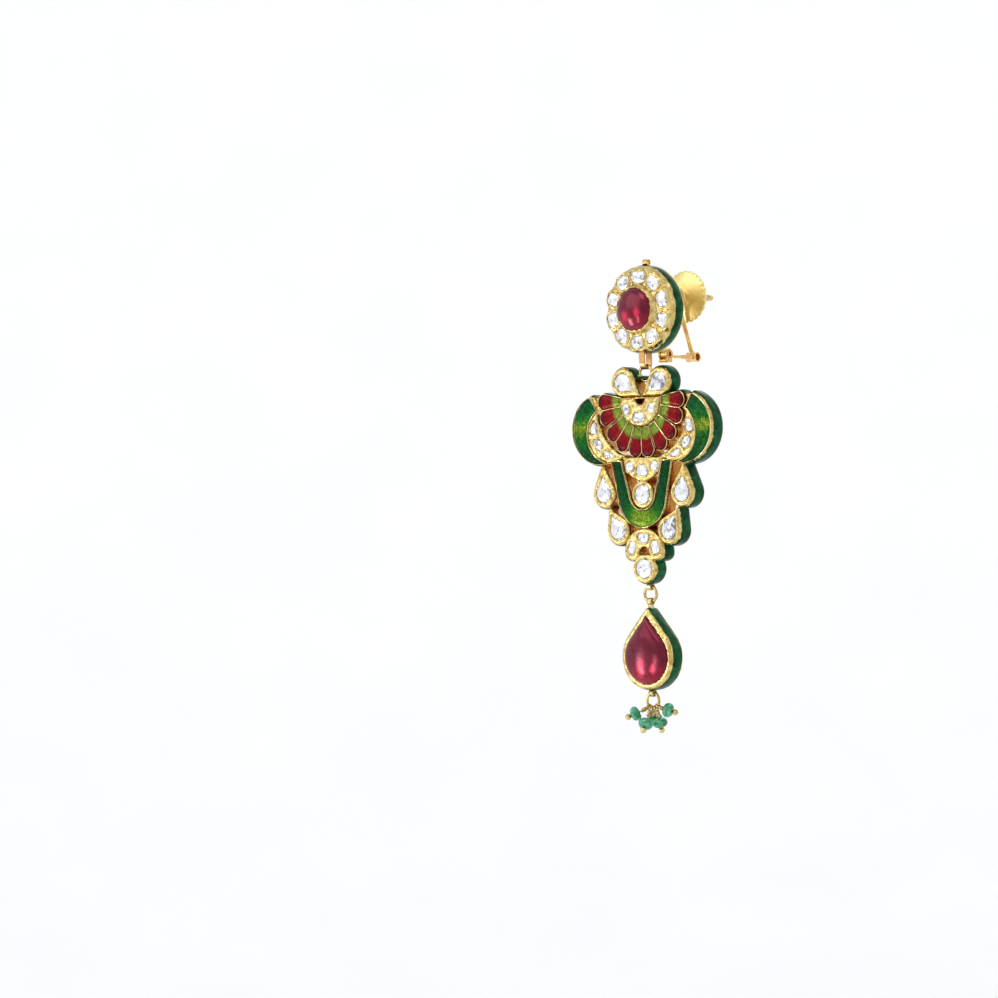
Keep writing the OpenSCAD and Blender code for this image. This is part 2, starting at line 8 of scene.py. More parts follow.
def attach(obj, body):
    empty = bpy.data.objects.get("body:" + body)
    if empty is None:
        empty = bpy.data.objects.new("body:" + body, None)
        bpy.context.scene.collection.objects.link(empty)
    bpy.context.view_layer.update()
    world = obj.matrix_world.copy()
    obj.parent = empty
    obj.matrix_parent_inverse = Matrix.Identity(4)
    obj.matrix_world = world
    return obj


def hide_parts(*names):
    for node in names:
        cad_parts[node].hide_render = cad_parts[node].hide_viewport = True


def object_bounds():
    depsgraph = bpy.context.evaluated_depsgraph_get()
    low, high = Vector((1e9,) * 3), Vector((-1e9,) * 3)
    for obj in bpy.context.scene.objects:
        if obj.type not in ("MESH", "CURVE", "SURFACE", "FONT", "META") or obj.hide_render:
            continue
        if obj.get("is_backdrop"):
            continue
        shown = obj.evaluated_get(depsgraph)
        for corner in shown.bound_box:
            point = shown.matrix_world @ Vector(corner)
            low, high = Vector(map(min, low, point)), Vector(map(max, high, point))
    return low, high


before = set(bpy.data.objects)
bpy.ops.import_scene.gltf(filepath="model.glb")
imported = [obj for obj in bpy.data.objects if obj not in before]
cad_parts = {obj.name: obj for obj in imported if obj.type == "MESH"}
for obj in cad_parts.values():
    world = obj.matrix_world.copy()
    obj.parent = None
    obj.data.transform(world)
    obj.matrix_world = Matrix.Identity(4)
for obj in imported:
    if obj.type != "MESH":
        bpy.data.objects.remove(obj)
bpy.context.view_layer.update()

MM = 0.001

# Sizes in millimetres, as in the part's source. Front shapes are given as x across and z up,
# with w the depth in front of a back plane, so that y = -w.
HANG = 1.4  # depth of the plane that the rings and straps hang in
FORWARD = 0.15  # the plaque's back plane, in front of the rosette's
ROSETTE_Z = -2.3
FAN_Z = -17.05  # middle of the plaque's fan, from which the plaque's shapes are measured
DROP_Z = -57.85
BAIL_RING_Z, UPPER_RING_Z, LOWER_RING_Z = -12.45, -47.8, -64.85
RING_R, RING_WIRE = 1.23, 0.25
# Where the front shapes of a body lie: z of their middle, and how far forward their back plane is
ON_ROSETTE, ON_PLAQUE, ON_DROP = (ROSETTE_Z, 0), (FAN_Z, FORWARD), (DROP_Z, 0)

# Post, nut, and clip as seen from the side: its hinge, barrel and the middle of its loop
NUT_Y, SCALLOPS = 9.0, 24
HINGE_Y, HINGE_Z = 3.6, -9.35
HINGE, BARREL, CLIP_LOOP, CLIP_LOOP_R = (0, HINGE_Y, HINGE_Z), (0, 10.6, -9.75), (0, 6.6, 0.0), 1.7

RUBY_R = 3.4
# Stones round the rosette: how far out they stand, and the width and height of each
RING_STONE_R = 5.2
RING_STONES = [
    (2.7, 1.9), (2.35, 2.1), (2.3, 2.25), (1.95, 2.3), (2.2, 2.1),
    (2.2, 1.95), (2.3, 2.2), (2.1, 2.3), (1.8, 2.4), (2.15, 2.05),
]

# Petals: the fan's radius, a petal's tip radius, where its root is and half the root's width.
# They stand in pairs at these angles, each half a step to one side of it.
FAN_R, PETAL_TIP_R, PETAL_ROOT, PETAL_ROOT_HALF = 8.95, 1.32, 4.12, 0.67
PAIR_ANGLES = [8.5, 49.5, 90, 130.5, 171.5]
PETAL_HALF_STEP = 9.6
# Pears: middle x and z, radius, distance of the tip, turn in degrees
TOP_PEAR = (3.82, 3.2, 2.27, 4.3, 122)
SIDE_PEAR = (8.08, -14.55, 2.32, 4.85, -4.5)
LOW_PEAR = (5.25, -20.5, 2.32, 4.1, -28)
# Width of a pear's frame, and how far its stone's tip is from the middle, in radii of the stone
PEAR_FRAME, PEAR_STONE_TIP = 0.72, 1.72
# Round stones: middle z, radius of the frame, radius of the stone
HUB_STONE = (-14.8, 2.24, 1.62)
FOOT_STONE = (-26.65, 2.3, 1.64)
# Flat-cut stones: middle x and z, width, height, turn in degrees
FAN_POLKI = [(-2.65, -1.1, 1.55, 1.85, 20), (0, -2.45, 2.6, 1.65, 0), (2.6, -1.05, 1.5, 1.75, -20)]
MID_POLKI = [(-2.6, -10.35, 1.7, 1.6, 20), (0, -10.95, 2.4, 1.85, 0), (2.6, -10.3, 1.7, 1.6, -20)]
BASE_POLKI = [(-2.4, -23.3, 1.5, 2.2, -20), (0, -21.8, 2.4, 1.6, 180), (2.4, -23.2, 1.7, 2.25, 20)]
# Corners of the three stones in the right crescent
SIDE_CORNERS = [
    [(9.6, -2.75), (9.95, -2.75), (10.55, -3.7), (10.85, -4.75), (10.3, -5.05), (9.3, -4.95), (9.2, -4.1)],
    [(9.0, -5.7), (9.9, -5.65), (10.25, -6.3), (9.7, -7.25), (8.8, -7.75), (8.2, -7.2), (8.25, -6.4)],
    [(5.6, -8.65), (6.4, -8.05), (7.4, -7.6), (8.0, -7.8), (7.95, -8.45), (7.0, -8.95), (6.1, -8.95)],
]
# Circles of the right lobe and crescent: middle x and z, radius
LOBE_OUTER = (8.78, -4.24, 5.64)
LOBE_INNER = (6.66, -5.04, 4.56)
CRESCENT_INNER = (1.66, -1.17, 7.63)
# U band: its top edge, and of each round end the middle's z, the radius, and half its width at the top
U_TOP, U_OUTER, U_INNER = -9.3, (-15.2, 4.95, 6.3), (-14.6, 2.65, 4.25)

# Drop: radius of its round end, distance of its tip, width of the bezel
DROP_R, DROP_TIP, DROP_BEZEL = 5.1, 7.75, 0.76
# Head pins: where each hangs round the lower ring, in degrees, and its ball from the ring's lowest point
PINS = [
    (-45, (-3.71, -1.81, -1.39)),
    (-20, (-0.15, -2.41, -3.38)),
    (2, (-1.7, 2.87, -2.56)),
    (27, (0.77, 1.1, -3.54)),
    (52, (3.9, 0.79, -0.61)),
]
PIN_LOOP_R, PIN_LOOP_AT, PIN_R = 0.43, RING_R + 0.12, 0.14
BALL_R, BEAD_R, BEAD_T = 0.5, 1.2, 1.5


# Repeatable unevenness

def lattice(i, j, seed):
    """Values from -1 to 1 that look random, always the same for the same whole numbers."""
    n = (i.astype(np.int64) * 374761393 + j.astype(np.int64) * 668265263 + seed * 974711) & 0xFFFFFFFF
    n = ((n ^ (n >> 13)) * 1274126177) & 0xFFFFFFFF
    n = n ^ (n >> 16)
    return (n & 0xFFFF) / 32767.5 - 1


def lumps(x, y, size, seed=0):
    """Smooth values from -1 to 1 whose bumps are about size across."""
    u, v = np.asarray(x, float) / size + 100, np.asarray(y, float) / size + 100
    i, j = np.floor(u), np.floor(v)
    a, b = u - i, v - j
    a, b = a * a * (3 - 2 * a), b * b * (3 - 2 * b)
    low = lattice(i, j, seed) * (1 - a) + lattice(i + 1, j, seed) * a
    high = lattice(i, j + 1, seed) * (1 - a) + lattice(i + 1, j + 1, seed) * a
    return low * (1 - b) + high * b


# Outlines: lists of x and z

def arc(cx, cz, r, a0, a1, n):
    """Points on a circle from one angle to another. r may be a half width and a half height."""
    t = np.radians(np.linspace(a0, a1, n))
    return np.array([cx, cz]) + np.array(r) * np.c_[np.cos(t), np.sin(t)]


def ring_of(cx, cz, r, n):
    return arc(cx, cz, r, 0, 360 * (1 - 1 / n), n)


def turned(points, turn, at=(0, 0)):
    t = radians(turn)
    m = np.array([[cos(t), sin(t)], [-sin(t), cos(t)]])
    return np.asarray(points, float) @ m + np.array(at)


def swollen(points, factor):
    middle = points.mean(0)
    return middle + (points - middle) * factor


def mirror(points):
    return np.asarray(points)[::-1] * np.array([-1, 1])


def both(points):
    return [np.asarray(points), mirror(points)]


def pear(r, tip, n=28):
    touch = degrees(asin(r / tip))
    return np.vstack([arc(0, 0, r, 180 - touch, 360 + touch, n), [[0, tip]]])


def pear_frame(p):
    return turned(pear(p[2], p[3]), p[4], p[:2])


def pear_stone(p):
    r = p[2] - PEAR_FRAME
    return turned(pear(r, r * PEAR_STONE_TIP), p[4], p[:2])


def block(w, h, narrow=0.82):
    """A flat-cut stone with its corners off. narrow is its top's width, as a share of its foot's."""
    c, x, y = 0.22 * min(w, h), w / 2, h / 2
    return np.array([
        (-x + c, -y), (x - c, -y), (x, -y + c), (x * narrow, y - c),
        (x * narrow - c, y), (-x * narrow + c, y), (-x * narrow, y - c), (-x, -y + c),
    ])


def polki(s):
    return turned(block(s[2], s[3]), s[4], s[:2])


def petal(i, inset=0.0):
    tip, root = PETAL_TIP_R - inset, PETAL_ROOT_HALF - inset
    angle = -PAIR_ANGLES[i // 2] + PETAL_HALF_STEP * (1 if i % 2 == 0 else -1)
    outline = np.vstack([
        [[PETAL_ROOT + inset, -root]],
        arc(FAN_R - PETAL_TIP_R, 0, tip, -80, 80, 15),
        [[PETAL_ROOT + inset, root]],
    ])
    return turned(outline, angle)


def u_band(inset=0.0):
    top = U_TOP - inset
    z_out, r_out, x_out = U_OUTER
    z_in, r_in, x_in = U_INNER
    return np.vstack([
        [[-x_out + inset, top]],
        arc(0, z_out, r_out - inset, 185, 355, 36),
        [[x_out - inset, top], [x_in + inset, top]],
        arc(0, z_in, r_in + inset, -5, -175, 28),
        [[-x_in - inset, top]],
    ])


def spaced(outline, count=None, step=0.1):
    """Points at even distances round a closed outline: so many, or about a step apart."""
    p = np.asarray(outline, float)
    q = np.vstack([p, p[:1]])
    along = np.concatenate([[0], np.cumsum(np.linalg.norm(np.diff(q, axis=0), axis=1))])
    t = np.linspace(0, along[-1], count or max(16, int(along[-1] / step)), endpoint=False)
    return np.c_[np.interp(t, along, q[:, 0]), np.interp(t, along, q[:, 1])]


def softened(p, times):
    for _ in range(times):
        p = (np.roll(p, 1, 0) + 2 * p + np.roll(p, -1, 0)) / 4
    return p


def even(outline, step, soften=0):
    """The outline again, anticlockwise, with points a step apart and its corners softened."""
    p = softened(spaced(outline, step=step), soften)
    area = np.sum(p[:, 0] * np.roll(p[:, 1], -1) - np.roll(p[:, 0], -1) * p[:, 1])
    return p if area > 0 else p[::-1]


def outward(p):
    """At each point of an anticlockwise outline, the direction out of it."""
    d = np.roll(p, -1, 0) - np.roll(p, 1, 0)
    n = np.c_[d[:, 1], -d[:, 0]]
    return n / np.maximum(np.linalg.norm(n, axis=1), 1e-9)[:, None]


# Shapes: functions of x and z that give the distance to an outline, negative inside it

def circle(cx, cz, r):
    return lambda X, Z: np.hypot(X - cx, Z - cz) - r


def under(z):
    return lambda X, Z: Z - z


def polygon(points):
    p = np.asarray(points, float)

    def distance(X, Z):
        best = np.full(X.shape, 1e9)
        inside = np.zeros(X.shape, bool)
        for (ax, az), (bx, bz) in zip(p, np.roll(p, -1, 0)):
            ex, ez, wx, wz = bx - ax, bz - az, X - ax, Z - az
            t = np.clip((wx * ex + wz * ez) / max(ex * ex + ez * ez, 1e-12), 0, 1)
            best = np.minimum(best, (wx - ex * t) ** 2 + (wz - ez * t) ** 2)
            if az != bz:
                inside ^= ((az > Z) != (bz > Z)) & (X < ex * (Z - az) / (bz - az) + ax)
        return np.where(inside, -1, 1) * np.sqrt(best)

    return distance


def union(*shapes):
    return lambda X, Z: np.minimum.reduce([f(X, Z) for f in shapes])


def common(*shapes):
    return lambda X, Z: np.maximum.reduce([f(X, Z) for f in shapes])


def less(shape, *holes):
    return lambda X, Z: np.maximum.reduce([shape(X, Z)] + [-f(X, Z) for f in holes])


def twice(shape):
    """The shape and its mirror image."""
    return lambda X, Z: np.minimum(shape(X, Z), shape(-X, Z))


def merged(a, b, k=0.16):
    """Union of two shapes with a fillet of about k where they meet."""
    h = np.clip(0.5 + 0.5 * (b - a) / k, 0, 1)
    return b * (1 - h) + a * h - k * h * (1 - h)


def rounded(d, width):
    """0 at an edge and outside it, rising to 1 at width inside it, as a quarter round."""
    t = np.clip(-d / width, 0, 1)
    return np.sqrt(np.clip(1 - (1 - t) ** 2, 0, 1))


def ease(x):
    """From 0 to 1 as x goes from 0 to 1, slow at both ends."""
    t = np.clip(x, 0, 1)
    return t * t * (3 - 2 * t)


# Mesh building

class Solid:
    """Collects shells, then becomes one piece. Points are x, y, z in millimetres."""

    def __init__(self):
        self.points, self.faces, self.marks, self.count = [], [], [], 0

    def add(self, points, faces, mark=0, flat=False):
        points = np.asarray(points, float)
        self.points.append(points)
        for f in faces:
            self.faces.append([int(v) + self.count for v in f])
            self.marks.append((mark, flat))
        self.count += len(points)

    def piece(self, name, body, materials, slot, replaces=(), sharp=38):
        """Makes the mesh, with edges above sharp degrees kept crisp. A face's mark picks its material."""
        mesh = bpy.data.meshes.new(name)
        mesh.from_pydata((np.vstack(self.points) * MM).tolist(), [], self.faces)
        for m in materials:
            mesh.materials.append(m.data)
        mesh.polygons.foreach_set("material_index", [m for m, _ in self.marks])
        mesh.polygons.foreach_set("use_smooth", [not f for _, f in self.marks])
        shape = bmesh.new()
        shape.from_mesh(mesh)
        bmesh.ops.recalc_face_normals(shape, faces=shape.faces)
        shape.to_mesh(mesh)
        shape.free()
        mesh.set_sharp_from_angle(angle=radians(sharp))
        mesh.update()
        o = bpy.data.objects.new(name, mesh)
        bpy.context.scene.collection.objects.link(o)
        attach(o, body)
        if replaces:
            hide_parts(*replaces)


def front(p, w, place):
    """Front shape points at depth w as x, y, z. place is the shape's z and how far forward it hangs."""
    p = np.asarray(p)
    z0, forward = place
    return np.c_[p[:, 0], -(np.broadcast_to(w, len(p)) + forward), p[:, 1] + z0]


def drop_islands(inside, least=80):
    """Clears the groups of fewer than least joined grid points, which would be stray specks."""
    left = {(int(i), int(j)) for i, j in np.argwhere(inside)}
    while left:
        border, group = [left.pop()], []
        while border:
            i, j = border.pop()
            group.append((i, j))
            for q in ((i + 1, j), (i - 1, j), (i, j + 1), (i, j - 1)):
                if q in left:
                    left.remove(q)
                    border.append(q)
        if len(group) < least:
            for q in group:
                inside[q] = False


def depths(height, points):
    """The depth at each point, from one value or a function of x and z."""
    return height(points[:, 0], points[:, 1]) if callable(height) else np.full(len(points), float(height))


def relief(solid, sd, top, bottom, box, step, place=ON_PLAQUE, mark=0, bulge=None, levels=1):
    """A slab whose outline is where sd is 0, with a modelled top and side walls down to its bottom.

    box is the area searched for the outline: x from and to, z from and to. The walls have levels rows,
    and bulge pushes a row outward.
    """
    gx, gz = (a + step * np.arange(int((b - a) / step) + 2) for a, b in (box[:2], box[2:]))
    X, Z = np.meshgrid(gx, gz, indexing="ij")
    D = sd(X, Z)
    D = np.where(np.abs(D) < step * 0.06, np.where(D < 0, -step * 0.06, step * 0.06), D)
    inside = D < 0
    drop_islands(inside)
    index = np.full(X.shape, -1)
    index[inside] = np.arange(inside.sum())
    # Points very near the edge move inward to one distance from it, for an even edge
    slope_x, slope_z = np.gradient(D, step)
    steep = np.maximum(np.hypot(slope_x, slope_z), 1e-9)
    move = np.where((D < 0) & (D > -0.6 * step), D + 0.6 * step, 0.0) / steep
    within = np.c_[(X - slope_x * move)[inside], (Z - slope_z * move)[inside]]
    cuts, on_edge = {}, []

    def cut(a, b):
        """Number of the point where the outline crosses the line between two grid points."""
        key = (a, b) if a < b else (b, a)
        if key not in cuts:
            t = D[a] / (D[a] - D[b])
            cuts[key] = len(within) + len(on_edge)
            on_edge.append((X[a] + (X[b] - X[a]) * t, Z[a] + (Z[b] - Z[a]) * t))
        return cuts[key]

    around = [inside[:-1, :-1], inside[1:, :-1], inside[1:, 1:], inside[:-1, 1:]]
    full = np.logical_and.reduce(around)
    i, j = np.nonzero(full)
    flats = np.c_[index[i, j], index[i + 1, j], index[i + 1, j + 1], index[i, j + 1]].tolist()
    rim = []
    for i, j in zip(*np.nonzero(np.logical_or.reduce(around) & ~full)):
        corners = [(i, j), (i + 1, j), (i + 1, j + 1), (i, j + 1)]
        face, crossing = [], []
        for a, b in zip(corners, corners[1:] + corners[:1]):
            if inside[a]:
                face.append(int(index[a]))
            if inside[a] != inside[b]:
                face.append(cut(a, b))
                crossing.append((face[-1], inside[a]))
        flats.append(face)
        for (point, leaves), (entry, _) in zip(crossing, crossing[1:] + crossing[:1]):
            if leaves:
                rim.append((point, entry))
    flat = np.vstack([within] + ([np.array(on_edge)] if on_edge else []))
    n = len(flat)
    w_top, w_low = depths(top, flat), depths(bottom, flat)
    points = [front(flat, w_top, place), front(flat, w_low, place)]
    # Front faces look along -y, where x across and z up go clockwise
    faces = flats + [[v + n for v in reversed(f)] for f in flats]
    on_rim = sorted({v for e in rim for v in e})
    spot = {v: k for k, v in enumerate(on_rim)}
    rows = [on_rim]
    if levels > 1:
        x, z = flat[on_rim].T
        e = step * 0.5
        slope = np.c_[sd(x + e, z) - sd(x - e, z), sd(x, z + e) - sd(x, z - e)]
        slope /= np.maximum(np.linalg.norm(slope, axis=1), 1e-9)[:, None]
        for k in range(1, levels):
            share = k / levels
            w = w_top[on_rim] * (1 - share) + w_low[on_rim] * share
            points.append(front(flat[on_rim] + slope * np.reshape(bulge(x, z, share), (-1, 1)), w, place))
            rows.append([2 * n + (k - 1) * len(on_rim) + q for q in range(len(on_rim))])
    rows.append([v + n for v in on_rim])
    for a, b in rim:
        for r0, r1 in zip(rows[:-1], rows[1:]):
            faces.append([r0[spot[b]], r0[spot[a]], r1[spot[a]], r1[spot[b]]])
    solid.add(np.vstack(points), faces, mark)


def skin(rows, columns, closed=False, caps=1):
    """Faces between rings of points. Unless the last ring joins the first, each end is capped.
    caps is 1 or -1, by the way round that the rings run."""
    faces = []
    for k in range(rows if closed else rows - 1):
        k2 = (k + 1) % rows
        for i in range(columns):
            j = (i + 1) % columns
            faces.append([k * columns + i, k * columns + j, k2 * columns + j, k2 * columns + i])
    if not closed:
        faces += [list(range(columns))[::-caps], [(rows - 1) * columns + i for i in range(columns)][::caps]]
    return faces


def sweep_loop(solid, loop, profile, place, mark=0, wobble=(0, 0, 1), seed=0):
    """A closed band round an outline, whose cross-section is a closed profile of distance outward and depth.
    wobble is how far it wavers outward and in depth, and the size of the waves."""
    m = len(profile)
    normal = outward(loop)
    rings = []
    for k, (s, w) in enumerate(profile):
        side = wobble[0] * lumps(loop[:, 0], loop[:, 1] + 3.1 * k, wobble[2], seed)
        rise = wobble[1] * lumps(loop[:, 0] + 7, loop[:, 1] + 1.7 * k, wobble[2], seed + 1)
        keep = 1 if 0 < k < m - 1 else 0.3
        rings.append(front(loop + normal * (s + side * keep)[:, None], w + rise * keep, place))
    solid.add(np.vstack(rings), skin(m, len(loop), True), mark)


def whole_turn(n):
    return np.linspace(0, 2 * np.pi, n, endpoint=False)


def tube(solid, path, radius, sides=14, closed=False):
    """A round wire along a path of points. radius is one value or one for each point."""
    p = np.asarray(path, float)
    n = len(p)
    r = np.broadcast_to(radius, n)
    t = np.roll(p, -1, 0) - np.roll(p, 1, 0) if closed else np.gradient(p, axis=0)
    t /= np.maximum(np.linalg.norm(t, axis=1), 1e-12)[:, None]
    start = np.cross(t[0], [0.13, 0.2, 1.0])
    u = [start / np.linalg.norm(start)]
    for i in range(1, n):
        v = u[-1] - t[i] * np.dot(u[-1], t[i])
        u.append(v / np.linalg.norm(v))
    u = np.array(u)
    if closed:  # spreads the twist that is left over round the loop
        v = u[-1] - t[0] * np.dot(u[-1], t[0])
        v /= np.linalg.norm(v)
        twist = atan2(np.dot(np.cross(v, u[0]), t[0]), np.dot(v, u[0]))
        c = np.cross(t, u)
        a = twist * np.arange(n)[:, None] / n
        u = u * np.cos(a) + c * np.sin(a)
    c = np.cross(t, u)
    a = whole_turn(sides)[None, :, None]
    points = p[:, None] + r[:, None, None] * (u[:, None] * np.cos(a) + c[:, None] * np.sin(a))
    solid.add(points.reshape(-1, 3), skin(n, sides, closed))


def lathe(solid, profile, at, axis, across=(1, 0, 0), sides=64, mark=0, shape=None, closed=True):
    """Turns a profile of radius and distance along the axis. shape may change it by angle.
    A closed profile makes a ring, and an open one starts and ends at the axis and is capped there."""
    at, axis, across = (np.asarray(v, float) for v in (at, axis, across))
    axis = axis / np.linalg.norm(axis)
    across = across - axis * np.dot(across, axis)
    across = across / np.linalg.norm(across)
    a = whole_turn(sides)
    spread = across * np.cos(a)[:, None] + np.cross(axis, across) * np.sin(a)[:, None]
    rows = []
    for k, (r, h) in enumerate(profile):
        rr, hh = (r, h) if shape is None else shape(r, h, a, k)
        rr, hh = np.broadcast_to(rr, sides), np.broadcast_to(hh, sides)
        rows.append(at + rr[:, None] * spread + axis * hh[:, None])
    solid.add(np.vstack(rows), skin(len(profile), sides, closed), mark)


def around(middle, half):
    return middle - half, middle + half


def rounded_box(solid, x, y, z, bevel, mark=0):
    """A block with rounded edges, between two values along each axis."""
    low, high = np.array([x, y, z], float).T
    index, points, faces = {}, [], []

    def vertex(p):
        key = tuple(np.round(p, 5))
        if key not in index:
            index[key] = len(points)
            nearest = np.clip(p, low + bevel, high - bevel)
            d = p - nearest
            n = np.linalg.norm(d)
            points.append(nearest + d / n * bevel if n > 1e-9 else p)
        return index[key]

    start = bevel * (1 - np.cos(np.linspace(0, np.pi / 2, 4)))
    ticks = [np.concatenate([a + start, b - start[::-1]]) for a, b in zip(low, high)]
    for k in range(3):
        u, v = (k + 1) % 3, (k + 2) % 3
        for end, way in ((low[k], -1), (high[k], 1)):
            for i, j in np.ndindex(7, 7):
                corner = []
                for a, b in ((i, j), (i + 1, j), (i + 1, j + 1), (i, j + 1)):
                    p = np.zeros(3)
                    p[k], p[u], p[v] = end, ticks[u][a], ticks[v][b]
                    corner.append(vertex(p))
                faces.append(corner[::way])
    solid.add(np.array(points), faces, mark)


def dome(solid, loop, levels, place, mark=0, flat=False, shake=None):
    """A stone through copies of its outline, each a depth and a scale about its middle, closed at both ends.
    shake is a random source that makes the facets above the widest ring uneven."""
    middle = loop.mean(0)
    n = len(loop)
    rings = []
    for k, (w, s) in enumerate(levels):
        if shake is None or k < 2:
            rings.append(front(swollen(loop, s), w, place))
            continue
        reach = np.linalg.norm(loop - middle, axis=1).mean()
        uneven = 0.25 if k == 2 else 1.0
        tilt = shake.normal(0, 0.05, 2) * uneven
        s = s * (1 + shake.normal(0, 0.07, n) * uneven)[:, None]
        at = swollen(loop, s) + shake.normal(0, 0.04, 2) * reach * uneven
        rings.append(front(at, w + (at - middle) @ tilt + shake.normal(0, 0.012, n), place))
    faces = skin(len(levels), n, caps=-1)
    solid.add(np.vstack(rings), faces, mark, flat)
    # The narrow rim facets take the next material: the darker copy with painted shade
    if shake is not None:  # narrow facets next to the widest ring
        for k in range(n):
            solid.marks[k - len(faces) + n] = (mark + 1, flat)


# Materials

def colour(r, g, b):
    """An 8-bit display colour as linear light."""
    return (*(((c / 255 + 0.055) / 1.055) ** 2.4 if c > 10 else c / 255 / 12.92 for c in (r, g, b)), 1.0)


def tones(*stops):
    """Stops of a colour ramp, each a place and an 8-bit display colour."""
    return [(at, colour(*rgb)) for at, *rgb in stops]


class Material:
    """A principled material. Its textures lie in millimetres in the object's own space."""

    def __init__(self, name, rough=0.3, metallic=0.0, ior=1.5, coat=0.0, coat_rough=0.03):
        self.data = bpy.data.materials.new(name)
        self.data.use_nodes = True
        self.tree = self.data.node_tree
        self.shader = self.tree.nodes["Principled BSDF"]
        self.set(Roughness=rough, Metallic=metallic, IOR=ior, Coat_Weight=coat, Coat_Roughness=coat_rough)
        place = self.tree.nodes.new("ShaderNodeTexCoord").outputs["Object"]
        self.mm = self.vector("SCALE", place, 1 / MM)

    def set(self, **values):
        for k, v in values.items():
            self.shader.inputs[k.replace("_", " ")].default_value = v

    def link(self, value, socket):
        if isinstance(value, bpy.types.NodeSocket):
            self.tree.links.new(value, socket)
        else:
            socket.default_value = value

    def node(self, kind, *values, **settings):
        """A new node, its first inputs linked or set from values and its properties from settings."""
        n = self.tree.nodes.new("ShaderNode" + kind)
        for k, v in settings.items():
            setattr(n, k, v)
        for k, v in enumerate(values):
            self.link(v, n.inputs[k])
        return n

    def vector(self, kind, a, b):
        n = self.node("VectorMath", a, operation=kind)
        self.link(b, n.inputs["Scale"] if kind == "SCALE" else n.inputs[1])
        return n.outputs["Value"] if kind in ("LENGTH", "DISTANCE") else n.outputs["Vector"]

    def add(self, a, b):
        return self.node("Math", a, b, operation="ADD").outputs[0]

    def axis(self, name):
        return self.node("SeparateXYZ", self.mm).outputs[name]

    def noise(self, scale, detail=2.0, distortion=0.0, vector=None):
        n = self.node("TexNoise", vector or self.mm)
        for name, v in (("Scale", scale), ("Detail", detail), ("Distortion", distortion)):
            n.inputs[name].default_value = v
        return n.outputs["Fac"]

    def cells(self, scale, output="Color"):
        n = self.node("TexVoronoi", self.mm)
        n.inputs["Scale"].default_value = scale
        return n.outputs[output]

    def ramp(self, value, stops):
        """A colour ramp. A stop is a place and a linear colour, or one value for a grey."""
        n = self.node("ValToRGB", value)
        e = n.color_ramp.elements
        while len(e) < len(stops):
            e.new(0.5)
        for element, (at, c) in zip(e, stops):
            element.position = at
            element.color = (*(c if isinstance(c, tuple) else (c, c, c)), 1.0)[:4]
        return n.outputs["Color"]

    def span(self, value, low, high, to_low=0.0, to_high=1.0):
        return self.node("MapRange", value, low, high, to_low, to_high).outputs[0]

    def mix(self, share, a, b, kind="MIX"):
        n = self.node("Mix", share, data_type="RGBA", blend_type=kind)
        self.link(a, n.inputs[6])
        self.link(b, n.inputs[7])
        return n.outputs[2]

    def bump(self, height, depth_mm, strength=1.0, under=None):
        n = self.node("Bump")
        values = {"Strength": strength, "Distance": depth_mm * MM, "Height": height, "Normal": under}
        for name, v in values.items():
            if v is not None:
                self.link(v, n.inputs[name])
        return n.outputs["Normal"]

    def finish(self, base=None, rough=None, normal=None, coat_normal=None):
        values = {"Base Color": base, "Roughness": rough, "Normal": normal, "Coat Normal": coat_normal}
        for name, v in values.items():
            if v is not None:
                self.link(v, self.shader.inputs[name])
        return self


def foil_gold(name, y_face=None, y_deep=None):
    """Hand-burnished pure gold foil. Its walls are painted deep orange between y_face and y_deep, in
    millimetres: a painted shade for the light bouncing between the gold walls of the openings.
    """
    m = Material(name, metallic=1.0)
    tone = m.ramp(m.noise(1.1, 3), tones((0.32, 180, 150, 80), (0.6, 211, 191, 130)))
    if y_face is not None:
        # Painted shade: deep orange mixed in on the walls, by depth
        tone = m.mix(m.span(m.axis("Y"), y_face, y_deep), tone, colour(180, 120, 54))
    rough = m.span(m.noise(2.3, 3), 0.3, 0.75, 0.13, 0.36)
    soft = m.bump(m.noise(1.7, 3, 0.4), 0.1, 0.7)
    stain = m.ramp(m.noise(1.5, 3, 0.5), [(0.33, (0.7, 0.68, 0.58)), (0.47, 1.0)])
    tone = m.mix(1.0, tone, stain, "MULTIPLY")
    return m.finish(tone, rough, m.bump(m.noise(4.2, 2), 0.018, 0.6, soft))


def worked_gold(name, light, deep, rough_low, rough_high, grain=(4, 4, 4), depth=0.008):
    """Polished or satin gold with fine tool marks, drawn out along the axis where grain is small."""
    m = Material(name, metallic=1.0)
    marks = m.noise(1.0, 3, 0, m.vector("MULTIPLY", m.mm, grain))
    tone = m.mix(m.span(m.noise(0.5, 2), 0.35, 0.65), colour(*deep), colour(*light))
    return m.finish(tone, m.span(marks, 0.25, 0.75, rough_low, rough_high), m.bump(marks, depth, 0.7))


def enamel(name, field, stops, glitter=0.6, low=0.0, high=1.0, wave=0.0):
    """Glassy enamel over cut foil: the colour follows a field, broken by small flecks, partly random tone and
    partly painted glints of the foil under the glass.
    """
    m = Material(name, metallic=0.35, coat=0.1)
    m.set(Specular_IOR_Level=0.04)
    value = field(m)
    if wave:
        value = m.add(value, m.span(m.noise(0.9, 3), 0.25, 0.75, -wave, wave))
    tone = m.ramp(m.span(value, low, high), stops)
    # Flecks: random tone, and over-bright cells that are painted glints
    flecks = m.ramp(m.cells(5.2), [(0.1, 0.42), (0.55, 0.95), (0.8, (2.0, 2.0, 1.5))])
    cloud = m.ramp(m.noise(2.6, 3), [(0.32, 0.42), (0.66, (1.35, 1.35, 1.3))])
    tone = m.mix(glitter, tone, flecks, "MULTIPLY")
    tone = m.mix(min(1.0, glitter + 0.2), tone, cloud, "MULTIPLY")
    normal = m.bump(m.cells(5.2, "Distance"), 0.04, 0.35 * glitter)
    return m.finish(tone, None, normal, m.bump(m.noise(0.9, 2), 0.05, 0.5))


